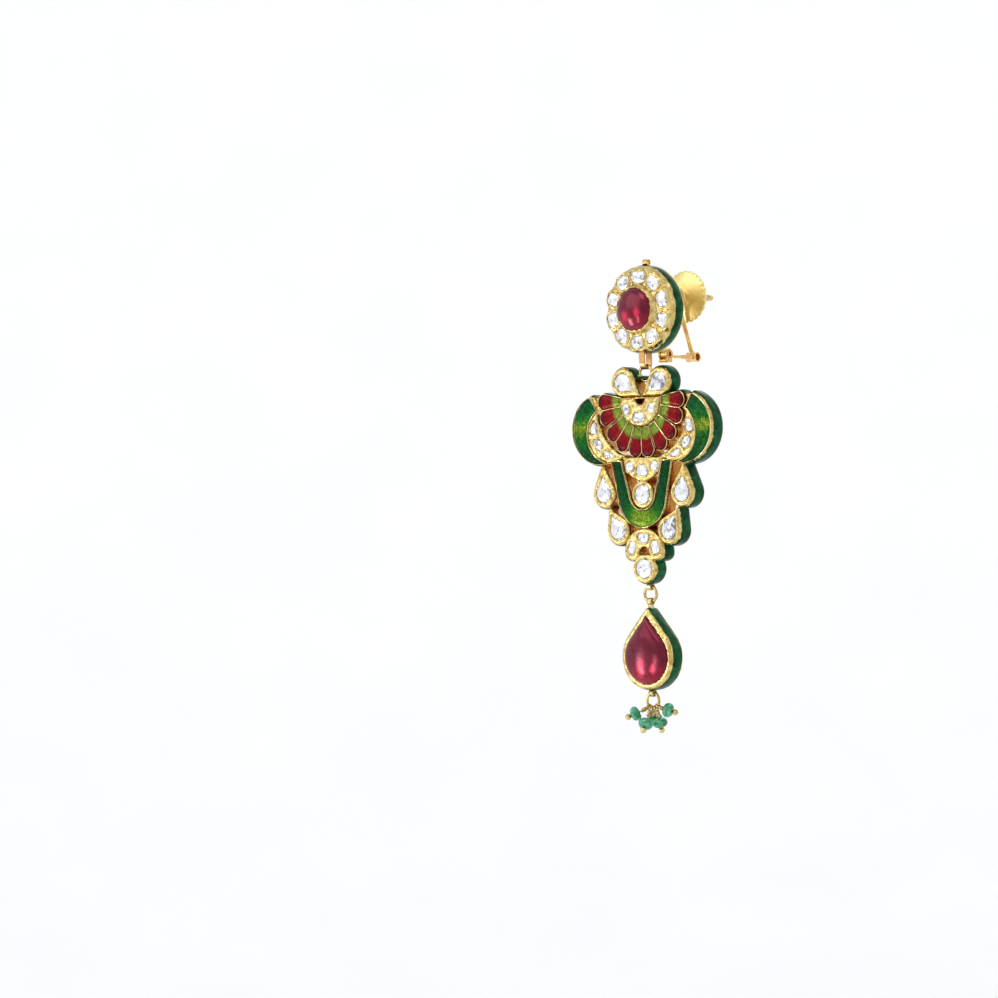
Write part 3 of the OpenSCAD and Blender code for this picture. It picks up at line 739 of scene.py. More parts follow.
def diamond(name, shade=1.0):
    """Flat-cut stone over foil: white, with crisp grey streaks painted in for the reflections in its facets.
    shade darkens it in places, a painted shade for the dark contour at its rim facets, where the stone meets
    its gold.
    """
    m = Material(name, rough=0.05, metallic=0.25, ior=2.2, coat=0.6, coat_rough=0.02)
    # Painted reflections: the grey streaks stand for reflections in the facets
    tone = m.ramp(m.noise(0.8, 3, 1.3), tones(
        (0.3, 74, 74, 82), (0.37, 140, 141, 148), (0.44, 192, 193, 197),
        (0.58, 212, 212, 214), (0.68, 160, 161, 168), (0.76, 100, 101, 112),
    ))
    if shade < 1.0:
        # Painted shade in places on the rim facets
        patches = m.ramp(m.noise(1.1, 2, 0.5), [(0.46, (shade, shade, shade * 1.03)), (0.6, 1.0)])
        tone = m.mix(1.0, tone, patches, "MULTIPLY")
    return m.finish(tone, None, m.bump(m.noise(1.3, 2, 1.0), 0.12, 0.6))


def ruby(name, z_low, z_high, painted_glints):
    """Wine red cabochon over foil, with tinted reflections. Its colour by height is painted light: pinker
    towards its lower edge, a painted dark band across its middle and a painted lighter reflection band above
    that.

    Its last argument lists painted pink glints on the stone: x, z, half width, half height."""
    m = Material(name, rough=0.17, ior=1.77)
    m.set(Specular_Tint=(1.0, 0.2, 0.3, 1.0))
    # Painted light by height, with random clouding
    height = m.add(m.axis("Z"), m.span(m.noise(0.35, 2, 0.8), 0.3, 0.7, -1.2, 1.2))
    tone = m.ramp(m.span(height, z_low, z_high), tones(
        (0.0, 106, 8, 26), (0.28, 88, 7, 24), (0.45, 60, 6, 20), (0.7, 80, 13, 27), (1.0, 54, 6, 20),
    ))
    cloud = m.ramp(m.noise(0.8, 3, 1.4), [(0.35, 0.6), (0.65, 1.3)])
    tone = m.mix(0.5, tone, cloud, "MULTIPLY")
    # Painted glints: pink spots with ragged edges
    glint_edge_noise = m.noise(0.9, 3, 1.0)
    for x, z, wide, tall in painted_glints:
        across = m.vector("MULTIPLY", m.vector("SUBTRACT", m.mm, (x, 0, z)), (1 / wide, 0, 1 / tall))
        near = m.add(m.vector("LENGTH", across, (0, 0, 0)), m.span(glint_edge_noise, 0.25, 0.75, -0.45, 0.45))
        tone = m.mix(m.span(near, 1.25, 0.35, 0.0, 0.7), tone, colour(216, 44, 76))
    return m.finish(tone, None, m.bump(m.noise(0.3, 1), 0.12, 0.4))


def emerald(name):
    """Cloudy green stone that lets some light through."""
    m = Material(name, rough=0.09, ior=1.57)
    m.set(Transmission_Weight=0.45)
    tone = m.ramp(m.noise(0.8, 4, 1.2), tones((0.3, 12, 100, 62), (0.5, 34, 150, 100), (0.68, 108, 204, 160)))
    return m.finish(tone, m.span(m.noise(2.0, 2), 0.3, 0.7, 0.05, 0.2), m.bump(m.noise(1.6, 2), 0.05, 0.5))


rosette_foil = foil_gold("rosette foil")
# The plaque's foil gets painted shade: deep orange on the walls of its openings
plaque_foil = foil_gold("plaque foil", -2.74, -1.9)
drop_foil = foil_gold("drop foil")
wire_gold = worked_gold("cell wire", (236, 220, 164), (211, 191, 130), 0.12, 0.26, (3, 3, 3), 0.01)
ring_gold = worked_gold("ring wire", (204, 186, 134), (176, 150, 92), 0.16, 0.34, depth=0.012)
back_gold = worked_gold("back plate", (226, 202, 132), (208, 180, 106), 0.2, 0.36, (0.7, 4, 5), 0.01)
satin_gold = worked_gold("satin nut", (230, 213, 148), (215, 192, 120), 0.36, 0.48, (5, 5, 5), 0.004)
fitting_gold = worked_gold("fitting", (230, 202, 136), (204, 156, 88), 0.2, 0.34, (4, 1.2, 4))
# Darker, more orange copy of the fitting gold: painted shade and bounced light inside the barrel
bore_gold_painted_shade = worked_gold("barrel bore", (206, 138, 86), (178, 104, 60), 0.2, 0.34)
# Darker orange copy of the fitting gold for the strap: painted shade where it hangs under the rosette
strap_gold_painted_shade = worked_gold("bail strap", (206, 164, 108), (172, 122, 72), 0.2, 0.34, depth=0.01)
stone_white = diamond("flat-cut stone")
# Darker copy of the stone for its rim facets: painted shade for the dark contour between stone and gold
stone_rim_painted_shade = diamond("flat-cut stone rim", 0.2)
# Each ruby's list holds its painted pink glints
rosette_red = ruby("rosette ruby", ROSETTE_Z - 3.6, ROSETTE_Z + 3.6, [
    (-1.3, ROSETTE_Z - 1.0, 0.75, 1.0), (1.2, ROSETTE_Z - 0.8, 0.6, 0.9),
])
drop_red = ruby("drop ruby", DROP_Z - 4.4, DROP_Z + 6.4, [
    (-0.5, DROP_Z - 1.9, 0.8, 1.6), (1.9, DROP_Z - 1.8, 0.5, 0.9),
])
bead_green = emerald("green bead")
wall_green = enamel(
    "green side enamel",
    lambda m: m.add(m.noise(0.55, 4, 0.6), m.span(m.noise(2.4, 2), 0.0, 1.0, -0.12, 0.12)),
    tones((0.3, 2, 46, 24), (0.48, 4, 62, 32), (0.62, 10, 80, 41), (0.78, 28, 104, 58)), 0.1,
)
lobe_green = enamel("green and lime enamel", lambda m: m.axis("Z"), tones(
    (0.0, 2, 42, 18), (0.24, 4, 70, 28), (0.41, 24, 86, 20), (0.48, 96, 118, 26),
    (0.55, 104, 126, 30), (0.62, 24, 88, 22), (0.78, 4, 72, 30), (1.0, 2, 44, 22),
), 0.7, FAN_Z - 10, FAN_Z + 1.5, 0.7)
band_green = enamel("band enamel", lambda m: m.vector("DISTANCE", m.mm, (0, -3, FAN_Z - 19.0)), tones(
    (0.0, 104, 128, 30), (0.17, 86, 118, 26), (0.28, 22, 84, 20), (0.45, 4, 62, 26), (1.0, 2, 50, 22),
), 0.6, 0.0, 11.0, 0.5)
petal_red = enamel("petal enamel", lambda m: m.vector("DISTANCE", m.mm, (0, -2.7, FAN_Z)), tones(
    (0.0, 82, 102, 30), (0.28, 112, 130, 44), (0.37, 98, 108, 30), (0.42, 112, 28, 14),
    (0.48, 112, 8, 15), (0.66, 116, 7, 18), (0.85, 84, 5, 17), (1.0, 52, 3, 12),
), 0.4, 4.0, 9.0, 0.24)


# Rosette

def ring_stone(i):
    """Outline of a stone round the rosette. They run clockwise from the top, seen from the front."""
    w, h = RING_STONES[i]
    turn = -(2.5 + 36 * i)
    t = radians(turn)
    return turned(block(w, h, 1.15), turn, (-RING_STONE_R * sin(t), RING_STONE_R * cos(t)))


RING_OUTLINES = [ring_stone(i) for i in range(10)]
sd_ring_stones = union(*map(polygon, RING_OUTLINES))
ROSETTE_AXIS = (0, 0, ROSETTE_Z), (0, -1, 0)
# The foil's depth by distance from the middle
ROSETTE_CROWN = [3.3, 3.7, 4.1, 5.2, 6.1, 6.45, 6.75, 7.05], [3.4, 3.45, 3.3, 3.08, 2.85, 2.72, 2.42, 2.12]


def sunk(w, near, floor, reach):
    """Depth w, sunk to floor where near is 0 or less, and back at w a reach away from there."""
    return floor + (w - floor) * ease(near / reach)


def rosette_outline(X, Z):
    return np.abs(np.hypot(X, Z) - 5.1) - 1.87 + 0.07 * lumps(X, Z, 0.55, 9) + 0.05 * lumps(X, Z, 0.3, 10)


def rosette_height(X, Z):
    w = np.interp(np.hypot(X, Z), *ROSETTE_CROWN)
    near = sd_ring_stones(X, Z)
    lift = np.exp(-(np.clip(near - 0.3, 0, None) / 0.3) ** 2)
    w = w * (1 - lift) + np.maximum(w, 3.14) * lift
    return sunk(w + 0.05 * lumps(X, Z, 0.8, 3) + 0.035 * lumps(X, Z, 0.38, 4), near, 2.6, 0.22)


LIP = [
    (-0.02, 0.0), (0.0, 0.1), (0.08, 0.17), (0.18, 0.15),
    (0.28, 0.05), (0.34, -0.1), (0.2, -0.3), (0.02, -0.3),
]


def lip(solid, outline, level, place, seed, scale, wobble=0.035):
    """The burnished foil edge that holds a stone."""
    profile = [(s * scale, level + w * scale) for s, w in LIP]
    sweep_loop(solid, even(outline, 0.1, 3), profile, place, 0, (wobble, wobble, 0.45), seed)


rosette = Solid()
relief(rosette, rosette_outline, rosette_height, 1.98, (-7.3, 7.3, -7.3, 7.3), 0.11, ON_ROSETTE)
for i, q in enumerate(RING_OUTLINES):
    lip(rosette, q, 3.2, ON_ROSETTE, 20 + i, 0.9)
BEZEL = [
    (3.37, 3.9), (3.38, 4.1), (3.46, 4.2), (3.6, 4.18), (3.74, 4.04), (3.86, 3.76), (3.98, 3.44),
    (4.14, 3.24), (4.1, 3.0), (3.42, 3.0), (3.41, 3.8),
]


def hand_bezel(r, h, a, k):
    x, z = 6 * np.cos(a), 6 * np.sin(a)
    keep = 1 if 0 < k < 8 else 0.2
    wide = 0.05 * lumps(x, z + k, 0.9, 31) + 0.02 * lumps(x, z, 0.4, 32)
    return r + keep * wide, h + keep * 0.06 * lumps(x, z + 2 * k, 0.8, 33)


lathe(rosette, BEZEL, *ROSETTE_AXIS, sides=160, shape=hand_bezel)
# Case behind the foil, with the thin plain rim at its back
lathe(rosette, [
    (0.02, 0.0), (6.2, 0.0), (6.95, 0.02), (7.05, 0.08), (7.05, 0.16), (6.98, 0.21), (6.8, 0.22), (6.8, 2.0),
    (3.0, 2.1), (0.02, 2.1),
], *ROSETTE_AXIS, sides=128, mark=1, closed=False)
rosette.piece("rosette_gold", "rosette", [rosette_foil, back_gold], "gold", ["rosette_case"], 50)

stones = Solid()
for i, q in enumerate(RING_OUTLINES):
    levels = [(2.8, 0.8), (3.2, 1.0), (3.28, 0.89), (3.37, 0.68), (3.43, 0.36)]
    dome(stones, swollen(q, 1.02), levels, ON_ROSETTE, flat=True, shake=np.random.default_rng(i))
stones.piece("rosette_stones", "rosette", [stone_white, stone_rim_painted_shade], "clear_stone", ["rosette_polki"])


def wavy(r, h, a, k):
    x, z = 6.5 * np.cos(a), 6.5 * np.sin(a)
    return r + (0.05 * lumps(x, z + k, 1.4, 41) if 1 <= k <= 5 else 0), h


enamel_ring = Solid()
lathe(enamel_ring, [
    (6.8, 0.2), (7.0, 0.23), (7.08, 0.4), (7.12, 1.0), (7.1, 1.6), (7.02, 1.92), (6.8, 1.97),
], *ROSETTE_AXIS, sides=160, shape=wavy)
enamel_ring.piece("rosette_side_enamel", "rosette", [wall_green], "green_enamel", ["rosette_enamel"])

gem = Solid()
foot = [(0.02, 3.0), (3.2, 3.0), (3.36, 3.4), (RUBY_R, 3.95)]
lathe(gem, [*foot, *arc(0, 4.0, (RUBY_R, 1.1), 6, 89.6, 22)], *ROSETTE_AXIS, sides=96, closed=False)
gem.piece("rosette_cabochon", "rosette", [rosette_red], "ruby", ["rosette_ruby"])


# Rosette's loops, post and hinge bracket

ALONG_X, ALONG_Y = ((1, 0, 0), (0, 0, 1)), ((0, 1, 0), (1, 0, 0))


def both_ends(low):
    """A lathe profile that is the same at both ends, from its lower half."""
    return low + [(r, -h) for r, h in reversed(low)]


def eye(solid, at, width, outer, bore, mark=0, edge=0.06):
    """A short tube along x with softened edges."""
    low = -width / 2
    lathe(solid, both_ends([
        (bore, low + edge), (bore + edge, low), (outer - edge, low), (outer, low + edge),
    ]), at, *ALONG_X, 40, mark)


fitting = Solid()
eye(fitting, (0, -HANG / 2, 5.25), 1.0, 0.56, 0.35)
rounded_box(fitting, around(0, 0.3), around(-HANG / 2, 0.3), (4.3, 4.86), 0.06)
# Strap that carries the plaque: a bent ribbon, open at the top where it enters the case
STRAP_THICK, STRAP_WIDE, STRAP_TOP, STRAP_BEND = 0.185, 0.54, -8.95, -10.85
half = 1.05 - STRAP_THICK
leg = np.c_[np.full(12, half), np.linspace(STRAP_TOP, STRAP_BEND, 12)]
ribbon = np.vstack([leg, arc(0, STRAP_BEND, half, 0, -180, 25)[1:-1], mirror(leg)])
d = np.gradient(ribbon, axis=0)
side = np.c_[d[:, 1], -d[:, 0]] / np.linalg.norm(d, axis=1)[:, None]
x, s, c = STRAP_WIDE, STRAP_THICK, 0.06
section = [(c - x, -s), (x - c, -s), (x, c - s), (x, s - c), (x - c, s), (c - x, s), (-x, s - c), (-x, c - s)]
rows = []
for (y, z), (sy, sz) in zip(ribbon, side):
    rows += [(x, -HANG + y + s * sy, z + s * sz) for x, s in section]
# The strap's faces take the painted-shade strap gold
fitting.add(rows, skin(len(ribbon), len(section)), 2)
# Threaded post with a plain tip
POST_R, PITCH, POST_TIP, THREAD_FROM, THREAD_TO = 0.5, 0.34, 15.4, 0.8, 15.0
post = [(0.02, -0.2), (POST_R, -0.2)]
for y in np.arange(0.0, POST_TIP - 0.2, PITCH / 10):
    post.append((POST_R - 0.05 * (1 - abs(sin(pi * y / PITCH))) ** 0.6, y))
post += [*arc(0, POST_TIP, POST_R, 0, 86, 9)]


def thread(r, h, a, k):
    if not THREAD_FROM < h < THREAD_TO:
        return (r if h < 0 or h > THREAD_TO else POST_R), h
    turn = (h / PITCH - a / (2 * np.pi)) % 1.0
    return POST_R - 0.07 * np.clip(1.0 - np.abs(turn - 0.5) * 3.2, 0, 1), h


lathe(fitting, post, (0, 0, 0), *ALONG_Y, 28, 1, thread, closed=False)
# Hinge bracket: two ears on a tongue, and the stop block
for s in (-1, 1):
    eye(fitting, (s * 0.72, HINGE_Y, HINGE_Z), 0.36, 0.9, 0.58, edge=0.08)
    wide = around(s * 0.72, 0.15)
    rounded_box(fitting, wide, (-0.1, HINGE_Y + 0.06), (HINGE_Z + 0.52, HINGE_Z + 0.86), 0.09)
    rounded_box(fitting, wide, around(HINGE_Y, 0.68), (HINGE_Z - 1.2, HINGE_Z - 0.6), 0.1)
wide = around(0, 0.9)
rounded_box(fitting, wide, (-0.1, HINGE_Y - 1.12), (HINGE_Z + 0.48, HINGE_Z + 0.93), 0.14)
rounded_box(fitting, wide, around(HINGE_Y, 0.75), (HINGE_Z - 1.35, HINGE_Z - 0.82), 0.18)
fitting_golds = [fitting_gold, ring_gold, strap_gold_painted_shade]
fitting.piece("rosette_fittings", "rosette", fitting_golds, "gold", ["rosette_case"], 40)

pin = Solid()
lathe(pin, both_ends([
    (0.38, -0.92), (0.42, -0.98), (0.5, -0.98), (0.56, -0.94), (0.54, -0.905), (0.51, -0.9),
]), HINGE, *ALONG_X, 36)
pin.piece("hinge_rivet", "rosette", [fitting_gold], "gold", ["clip_rivet"])

# Nut: a domed disc whose rim has round scallops
NUT_PROFILE = [
    (0.54, -0.72), (0.6, -0.78), (1.0, -0.77), (1.12, -0.7), (1.5, -0.7), (2.2, -0.55), (2.8, -0.42),
    (3.3, -0.27), (3.6, -0.17), (3.85, -0.06), (3.98, 0.04), (4.02, 0.16), (3.98, 0.28), (3.85, 0.33),
    (3.6, 0.25), (3.2, 0.14), (2.2, 0.03), (1.35, -0.08), (1.15, 0.0), (1.1, 0.2), (1.1, 1.02),
    (1.04, 1.1), (0.6, 1.1), (0.54, 1.04),
]


def scalloped(r, h, a, k):
    wave = np.sqrt(np.abs(np.cos(a * SCALLOPS / 2)))
    return r + np.clip((r - 3.7) / 0.3, 0, 1) * (0.26 * wave - 0.03), h


nut = Solid()
lathe(nut, NUT_PROFILE, (0, NUT_Y, 0), *ALONG_Y, SCALLOPS * 12, 0, scalloped)
nut.piece("screw_nut", "nut", [satin_gold], "gold", ["post_nut"], 50)

# Clip: a lever bent from one doubled wire, soldered to an open barrel and a flat arm
clip = Solid()
eye(clip, HINGE, 0.92, 0.74, 0.58, edge=0.05)
# The arm's middle y and z, and its half width and height
ARM = [
    (HINGE_Y + 0.62, HINGE_Z - 0.37, 0.42, 0.17), (HINGE_Y + 1.4, HINGE_Z - 0.37, 0.42, 0.22),
    (7.2, HINGE_Z - 0.38, 0.38, 0.27), (8.8, HINGE_Z - 0.4, 0.46, 0.38),
    (9.7, HINGE_Z - 0.4, 0.62, 0.5), (10.25, HINGE_Z - 0.4, 0.66, 0.56),
]
rows = []
for q in np.linspace(0, len(ARM) - 1, 30):
    k = min(int(q), len(ARM) - 2)
    f = ease(q - k)
    y, z, hx, hz = np.array(ARM[k]) * (1 - f) + np.array(ARM[k + 1]) * f
    for cx, cz in arc(0, 0, 1, 0, 342, 20):
        rows.append((hx * copysign(abs(cx) ** 0.55, cx), y, z + hz * copysign(abs(cz) ** 0.55, cz)))
clip.add(rows, skin(30, 20))
lathe(clip, both_ends([
    (0.57, -0.94), (0.61, -1.0), (0.74, -1.02), (0.83, -0.95), (0.81, -0.8), (0.75, -0.62),
]), BARREL, *ALONG_X, 48)
# The bore takes the painted-shade orange gold
bore = [(0.54, -0.93), (0.58, -0.95), (0.6, 0.0), (0.58, 0.95), (0.54, 0.93)]
lathe(clip, bore, BARREL, *ALONG_X, 48, 1)
# The wires: x across, and distance from the barrel towards the loop's middle
foot = np.array(BARREL)
reach = float(np.linalg.norm(np.array(CLIP_LOOP) - foot))
up = (np.array(CLIP_LOOP) - foot) / reach
across = np.array([1.0, 0, 0])
leg = np.c_[np.full(26, -0.18), np.linspace(0.5, reach - CLIP_LOOP_R - 0.35, 26)]
wire = np.vstack([leg, arc(0, reach, CLIP_LOOP_R, -104, -436, 64), mirror(leg)])
wire = foot + wire[:, 1:] * up + wire[:, :1] * across
for _ in range(6):
    wire[1:-1] = (wire[:-2] + 2 * wire[1:-1] + wire[2:]) / 4
tube(clip, wire, 0.2 + 0.03 * np.sin(np.pi * np.linspace(0, 1, len(wire))) ** 2, 14)
lathe(clip, [
    (0.02, 0.36), (0.46, 0.36), (0.5, 0.6), (0.42, 0.82), (0.36, 1.0), (0.3, 1.06), (0.02, 1.06),
], foot, up, across, 28, closed=False)
clip.piece("clip_bent_lever", "clip", [fitting_gold, bore_gold_painted_shade], "gold", ["clip_lever"], 42)


# Plaque

# CUT is where the lobe ends at the fan, WEB joins wing and fan, and FILL covers the pierced middle
CUT = [(11.05, 2), (10.58, 1.12), (9.26, -1.06), (8.6, -2), (2, -2), (2, 2)]
WEB = [(10.6, 1.05), (8.6, 0.9), (7.8, -0.6), (7.8, -1.8), (9.4, -1.8)]
FILL = [
    (0, -8), (8.45, -9.3), (8.5, -11), (8.1, -14.5), (7.1, -17.2), (5.2, -20.5), (3, -22.5),
    (1.6, -24.9), (0, -25),
]
# The discs that hold the lower fields of stones, and the hub of the fan with its hole
BASE_DISC, BASE_FOOT, BASE_SLOT = (0, -24.2, 4.05), -25.3, (-24.35, 1.1)
HUB_R, HUB_TOP, HUB_HOLE_R = 4.0, 0.75, 0.98
MID_Z, MID_R = -8.75, 3.98
PLAQUE_BOX = (-15.4, 15.4, -29.8, 6.6)
PEARS = [TOP_PEAR, SIDE_PEAR, LOW_PEAR]
ROUNDS = [HUB_STONE, FOOT_STONE]
PETALS = [petal(i) for i in range(10)]
SEAT_STONES = [q for p in PEARS for q in both(pear_stone(p))]
SEAT_STONES += [ring_of(0, s[0], s[2], 40) for s in ROUNDS]
SMALL_STONES = [polki(s) for s in MID_POLKI + BASE_POLKI] + [q for s in SIDE_CORNERS for q in both(s)]
HUB_STONES = [polki(s) for s in FAN_POLKI]

sd_lobe = less(circle(*LOBE_OUTER), circle(*LOBE_INNER), polygon(CUT))
sd_crescent = less(circle(*LOBE_INNER), circle(*CRESCENT_INNER))
sd_wing = less(union(less(circle(*LOBE_OUTER), polygon(CUT)), circle(*LOBE_INNER)), circle(*CRESCENT_INNER))
sd_hub_hole = common(circle(0, HUB_TOP - 0.1, HUB_HOLE_R), under(HUB_TOP - 0.25))
sd_hub = less(common(circle(0, 0, HUB_R), under(HUB_TOP)), sd_hub_hole)
sd_mid = common(circle(0, MID_Z, MID_R), under(MID_Z))
sd_base_slot = less(circle(0, *BASE_SLOT), under(BASE_SLOT[0]))
sd_base = less(lambda X, Z: -merged(-circle(*BASE_DISC)(X, Z), Z - BASE_FOOT, 1.5), sd_base_slot)
sd_petals = union(*map(polygon, PETALS))
sd_seats = union(*map(polygon, SEAT_STONES + SMALL_STONES))
sd_hub_seats = union(*map(polygon, HUB_STONES))
sd_fields = union(twice(sd_lobe), polygon(u_band()))
FRAMES = [polygon(q) for p in PEARS for q in both(pear_frame(p))]
FRAMES += [twice(sd_crescent), twice(sd_lobe), polygon(u_band()), sd_mid, sd_base]
FRAMES += [circle(0, z, r) for z, r, _ in ROUNDS]
JOINED = FRAMES + [
    twice(sd_wing), sd_petals, sd_hub, twice(polygon(WEB)),
    lambda X, Z: np.maximum(np.abs(X) - 4.3, np.abs(Z + 8.925) - 0.175),
]


def sd_plaque(X, Z):
    """Outline of the pierced plaque."""
    d = np.maximum(circle(0, 0, 7.35)(X, Z), Z - 0.9)
    for shape in JOINED:
        d = merged(d, shape(X, Z))
    return d


# Outline of the plaque with its inner holes covered
sd_cover = union(
    sd_plaque, common(circle(0, 0, 9.95), under(-1.6)), circle(0, 0, 3.9), circle(0, -24.3, 1.9),
    twice(polygon(FILL)),
)


def plaque_height(X, Z):
    """Depth of the foil: raised frames and hub, with sunk seats and enamel fields."""
    petals, hub, frames = sd_petals(X, Z), sd_hub(X, Z), [f(X, Z) for f in FRAMES]
    w = np.full(X.shape, 2.28)
    for s in frames:
        w = np.maximum(w, np.where(s < 0.1, 2.42 + 0.42 * rounded(s, 0.34), 0))
    w = np.where((petals < 0.05) & (np.minimum.reduce(frames) > -0.6), 2.2, w)
    w = np.maximum(w, np.where(hub < 0, 2.55 + 0.72 * rounded(hub, 0.55), 0))
    near, near_hub = sd_seats(X, Z), sd_hub_seats(X, Z)
    w = w + 0.06 * np.exp(-((np.minimum(near, near_hub) - 0.36) / 0.2) ** 2)
    w = w + 0.035 * lumps(X, Z, 0.85, 51) + 0.022 * lumps(X, Z, 0.4, 52)
    w = sunk(w, near, 2.25, 0.2)
    w = np.where(near_hub < 0.2, sunk(w, near_hub, 2.7, 0.2), w)
    w = np.where(sd_fields(X, Z) < -0.2, 2.35, w)
    return np.where((petals < -0.12) & (hub > 0.1), 2.0, w)


def sheet(X, Z):
    """Outline of the foil. It is torn where it hangs over the side enamel."""
    outside = np.exp(-(sd_cover(X, Z) / 0.45) ** 2)
    outside *= 1 - ease(Z + 4.0) * ease((11.2 - np.abs(X)) / 0.6) * ease((1.6 - Z) / 0.5)
    tear = 0.07 * lumps(X, Z, 0.6, 61) + 0.1 * lumps(X, Z, 0.3, 62)
    return np.maximum(sd_plaque(X, Z) - 0.02 - outside * (0.08 - tear), -sd_hub_hole(X, Z))


plaque = Solid()
relief(plaque, sheet, plaque_height, 2.2, PLAQUE_BOX, 0.115)
plaque.piece("plaque_gold", "plaque", [plaque_foil], "gold", ["plaque_case"], 55)
lips = Solid()
for outlines, level, seed, scale, wobble in (
    (SEAT_STONES, 2.72, 100, 1.0, 0.045),
    (SMALL_STONES, 2.72, 140, 0.8, 0.035),
    (HUB_STONES, 3.2, 180, 0.9, 0.035),
):
    for k, q in enumerate(outlines):
        lip(lips, q, level, ON_PLAQUE, seed + k, scale, wobble)
lips.piece("plaque_stone_lips", "plaque", [plaque_foil], "gold", ["plaque_case"], 55)
# Body behind the foil, the thin rim, and the plate at its back
plaque_back = Solid()
relief(
    plaque_back, sd_plaque, lambda X, Z: np.where(sd_hub_hole(X, Z) < 0, 1.3, 2.21), 0.1, PLAQUE_BOX, 0.17,
    levels=4, bulge=lambda x, z, share: 0.03 * lumps(x * 2, z * 2 + 9 * share, 0.7, 66),
)
relief(plaque_back, lambda X, Z: np.abs(sd_cover(X, Z) + 0.04) - 0.14, 0.15, 0.0, PLAQUE_BOX, 0.12, mark=1)
relief(
    plaque_back, lambda X, Z: sd_plaque(X, Z) - 0.015, 0.2, lambda X, Z: 0.045 + 0.02 * lumps(X, Z, 1.7, 68),
    PLAQUE_BOX, 0.2, mark=1,
)
plaque_back.piece("plaque_back", "plaque", [plaque_foil, back_gold], "gold", ["plaque_case"], 55)

# Cell wires: round gold wire along the edges of the enamel fields
WIRE = ring_of(0, 0, (0.075, 0.1), 8)
wires = Solid()


def cell_wire(outline, level, seed, thick, soften=1):
    profile = [(s * thick, level + w * thick * 1.5) for s, w in WIRE]
    sweep_loop(wires, even(outline, 0.16, soften), profile, ON_PLAQUE, 0, (0.012, 0.03, 0.8), seed)


def lobe_outline(inset):
    """The lobe's edge as points, from where its two circles and its cut meet."""
    points = []
    for (cx, cz, r), other, sign, angles in (
        (LOBE_OUTER, LOBE_INNER, 1, np.arange(-175, 100, 1.5)),
        (LOBE_INNER, LOBE_OUTER, -1, np.arange(110, -190, -1.5)),
    ):
        t, r = np.radians(angles), r - sign * inset
        x, z = cx + r * np.cos(t), cz + r * np.sin(t)
        clear = (sign * circle(*other)(x, z) > inset) & (polygon(CUT)(x, z) > inset)
        points.append(np.c_[x, z][clear])
    return np.vstack(points)


for i, q in enumerate(PETALS):
    cell_wire(q, 2.68, 200 + i, 0.82)
cell_wire(u_band(0.05), 2.88, 220, 0.95)
for k, q in enumerate(both(lobe_outline(0.05))):
    cell_wire(q, 2.88, 230 + k, 1.0, 2)
wires.piece("plaque_cell_wires", "plaque", [wire_gold], "gold")


# Enamel fields

def enamel_field(name, material, slot, node, sd, rim, crown, width, uneven, floor, box, step):
    """A low cushion of glass in its cell, crown higher than its rim at width from the edge.
    uneven is how far it wavers, the size of the waves and their seed."""
    field = Solid()
    high, size, seed = uneven
    relief(
        field, sd, lambda X, Z: rim + crown * rounded(sd(X, Z), width) + high * lumps(X, Z, size, seed),
        floor, box, step,
    )
    field.piece(name, "plaque", [material], slot, [node], 60)


for i in range(10):
    enamel_field(
        f"petal_enamel_{i + 1}", petal_red, "petal_enamel", f"petal_{i + 1}",
        polygon(petal(i, 0.045)), 2.58, 0.3, 0.9, (0.015, 0.7, 250 + i), 2.1,
        (-9.2, 9.2, -9.2, 1.5), 0.12,
    )
for name, sign in (("left", -1), ("right", 1)):
    enamel_field(
        f"lobe_enamel_{name}", lobe_green, "green_enamel", f"lobe_{name}",
        lambda X, Z: sd_lobe(sign * X, Z) + 0.09, 2.7, 0.4, 1.5, (0.02, 1.0, 260), 2.4,
        (-15, 15, -10.3, 1.6), 0.13,
    )
enamel_field(
    "u_band_enamel", band_green, "green_enamel", "u_band",
    polygon(u_band(0.1)), 2.7, 0.24, 0.9, (0.02, 1.0, 270), 2.4,
    (-6.5, 6.5, -20.5, -9.0), 0.12,
)


def side_band(X, Z):
    return np.abs(sd_cover(X, Z) - 0.11) - 0.13


# Side enamel: a rounded band of glass on the outer wall
side = Solid()
relief(
    side, side_band, lambda X, Z: 2.1 + 0.22 * rounded(side_band(X, Z), 0.12),
    lambda X, Z: 0.31 - 0.2 * rounded(side_band(X, Z), 0.12), PLAQUE_BOX, 0.1,
    levels=5, bulge=lambda x, z, share: 0.04 + 0.035 * lumps(x, z + 5 * share, 1.3, 71),
)
side.piece("plaque_side_enamel", "plaque", [wall_green], "green_enamel", ["plaque_enamel"], 60)


# Stones of the plaque

def brilliant(outlines, top, seed, name, node):
    """Faceted stones whose widest ring is just under top."""
    gem = Solid()
    rng = np.random.default_rng(seed)
    levels = [(top - 0.5, 0.85), (top - 0.06, 1.0), (top + 0.04, 0.9), (top + 0.14, 0.7), (top + 0.2, 0.38)]
    for q in outlines:
        dome(gem, swollen(q, 1.01), levels, ON_PLAQUE, flat=True, shake=rng)
    gem.piece(name, "plaque", [stone_white, stone_rim_painted_shade], "clear_stone", [node])


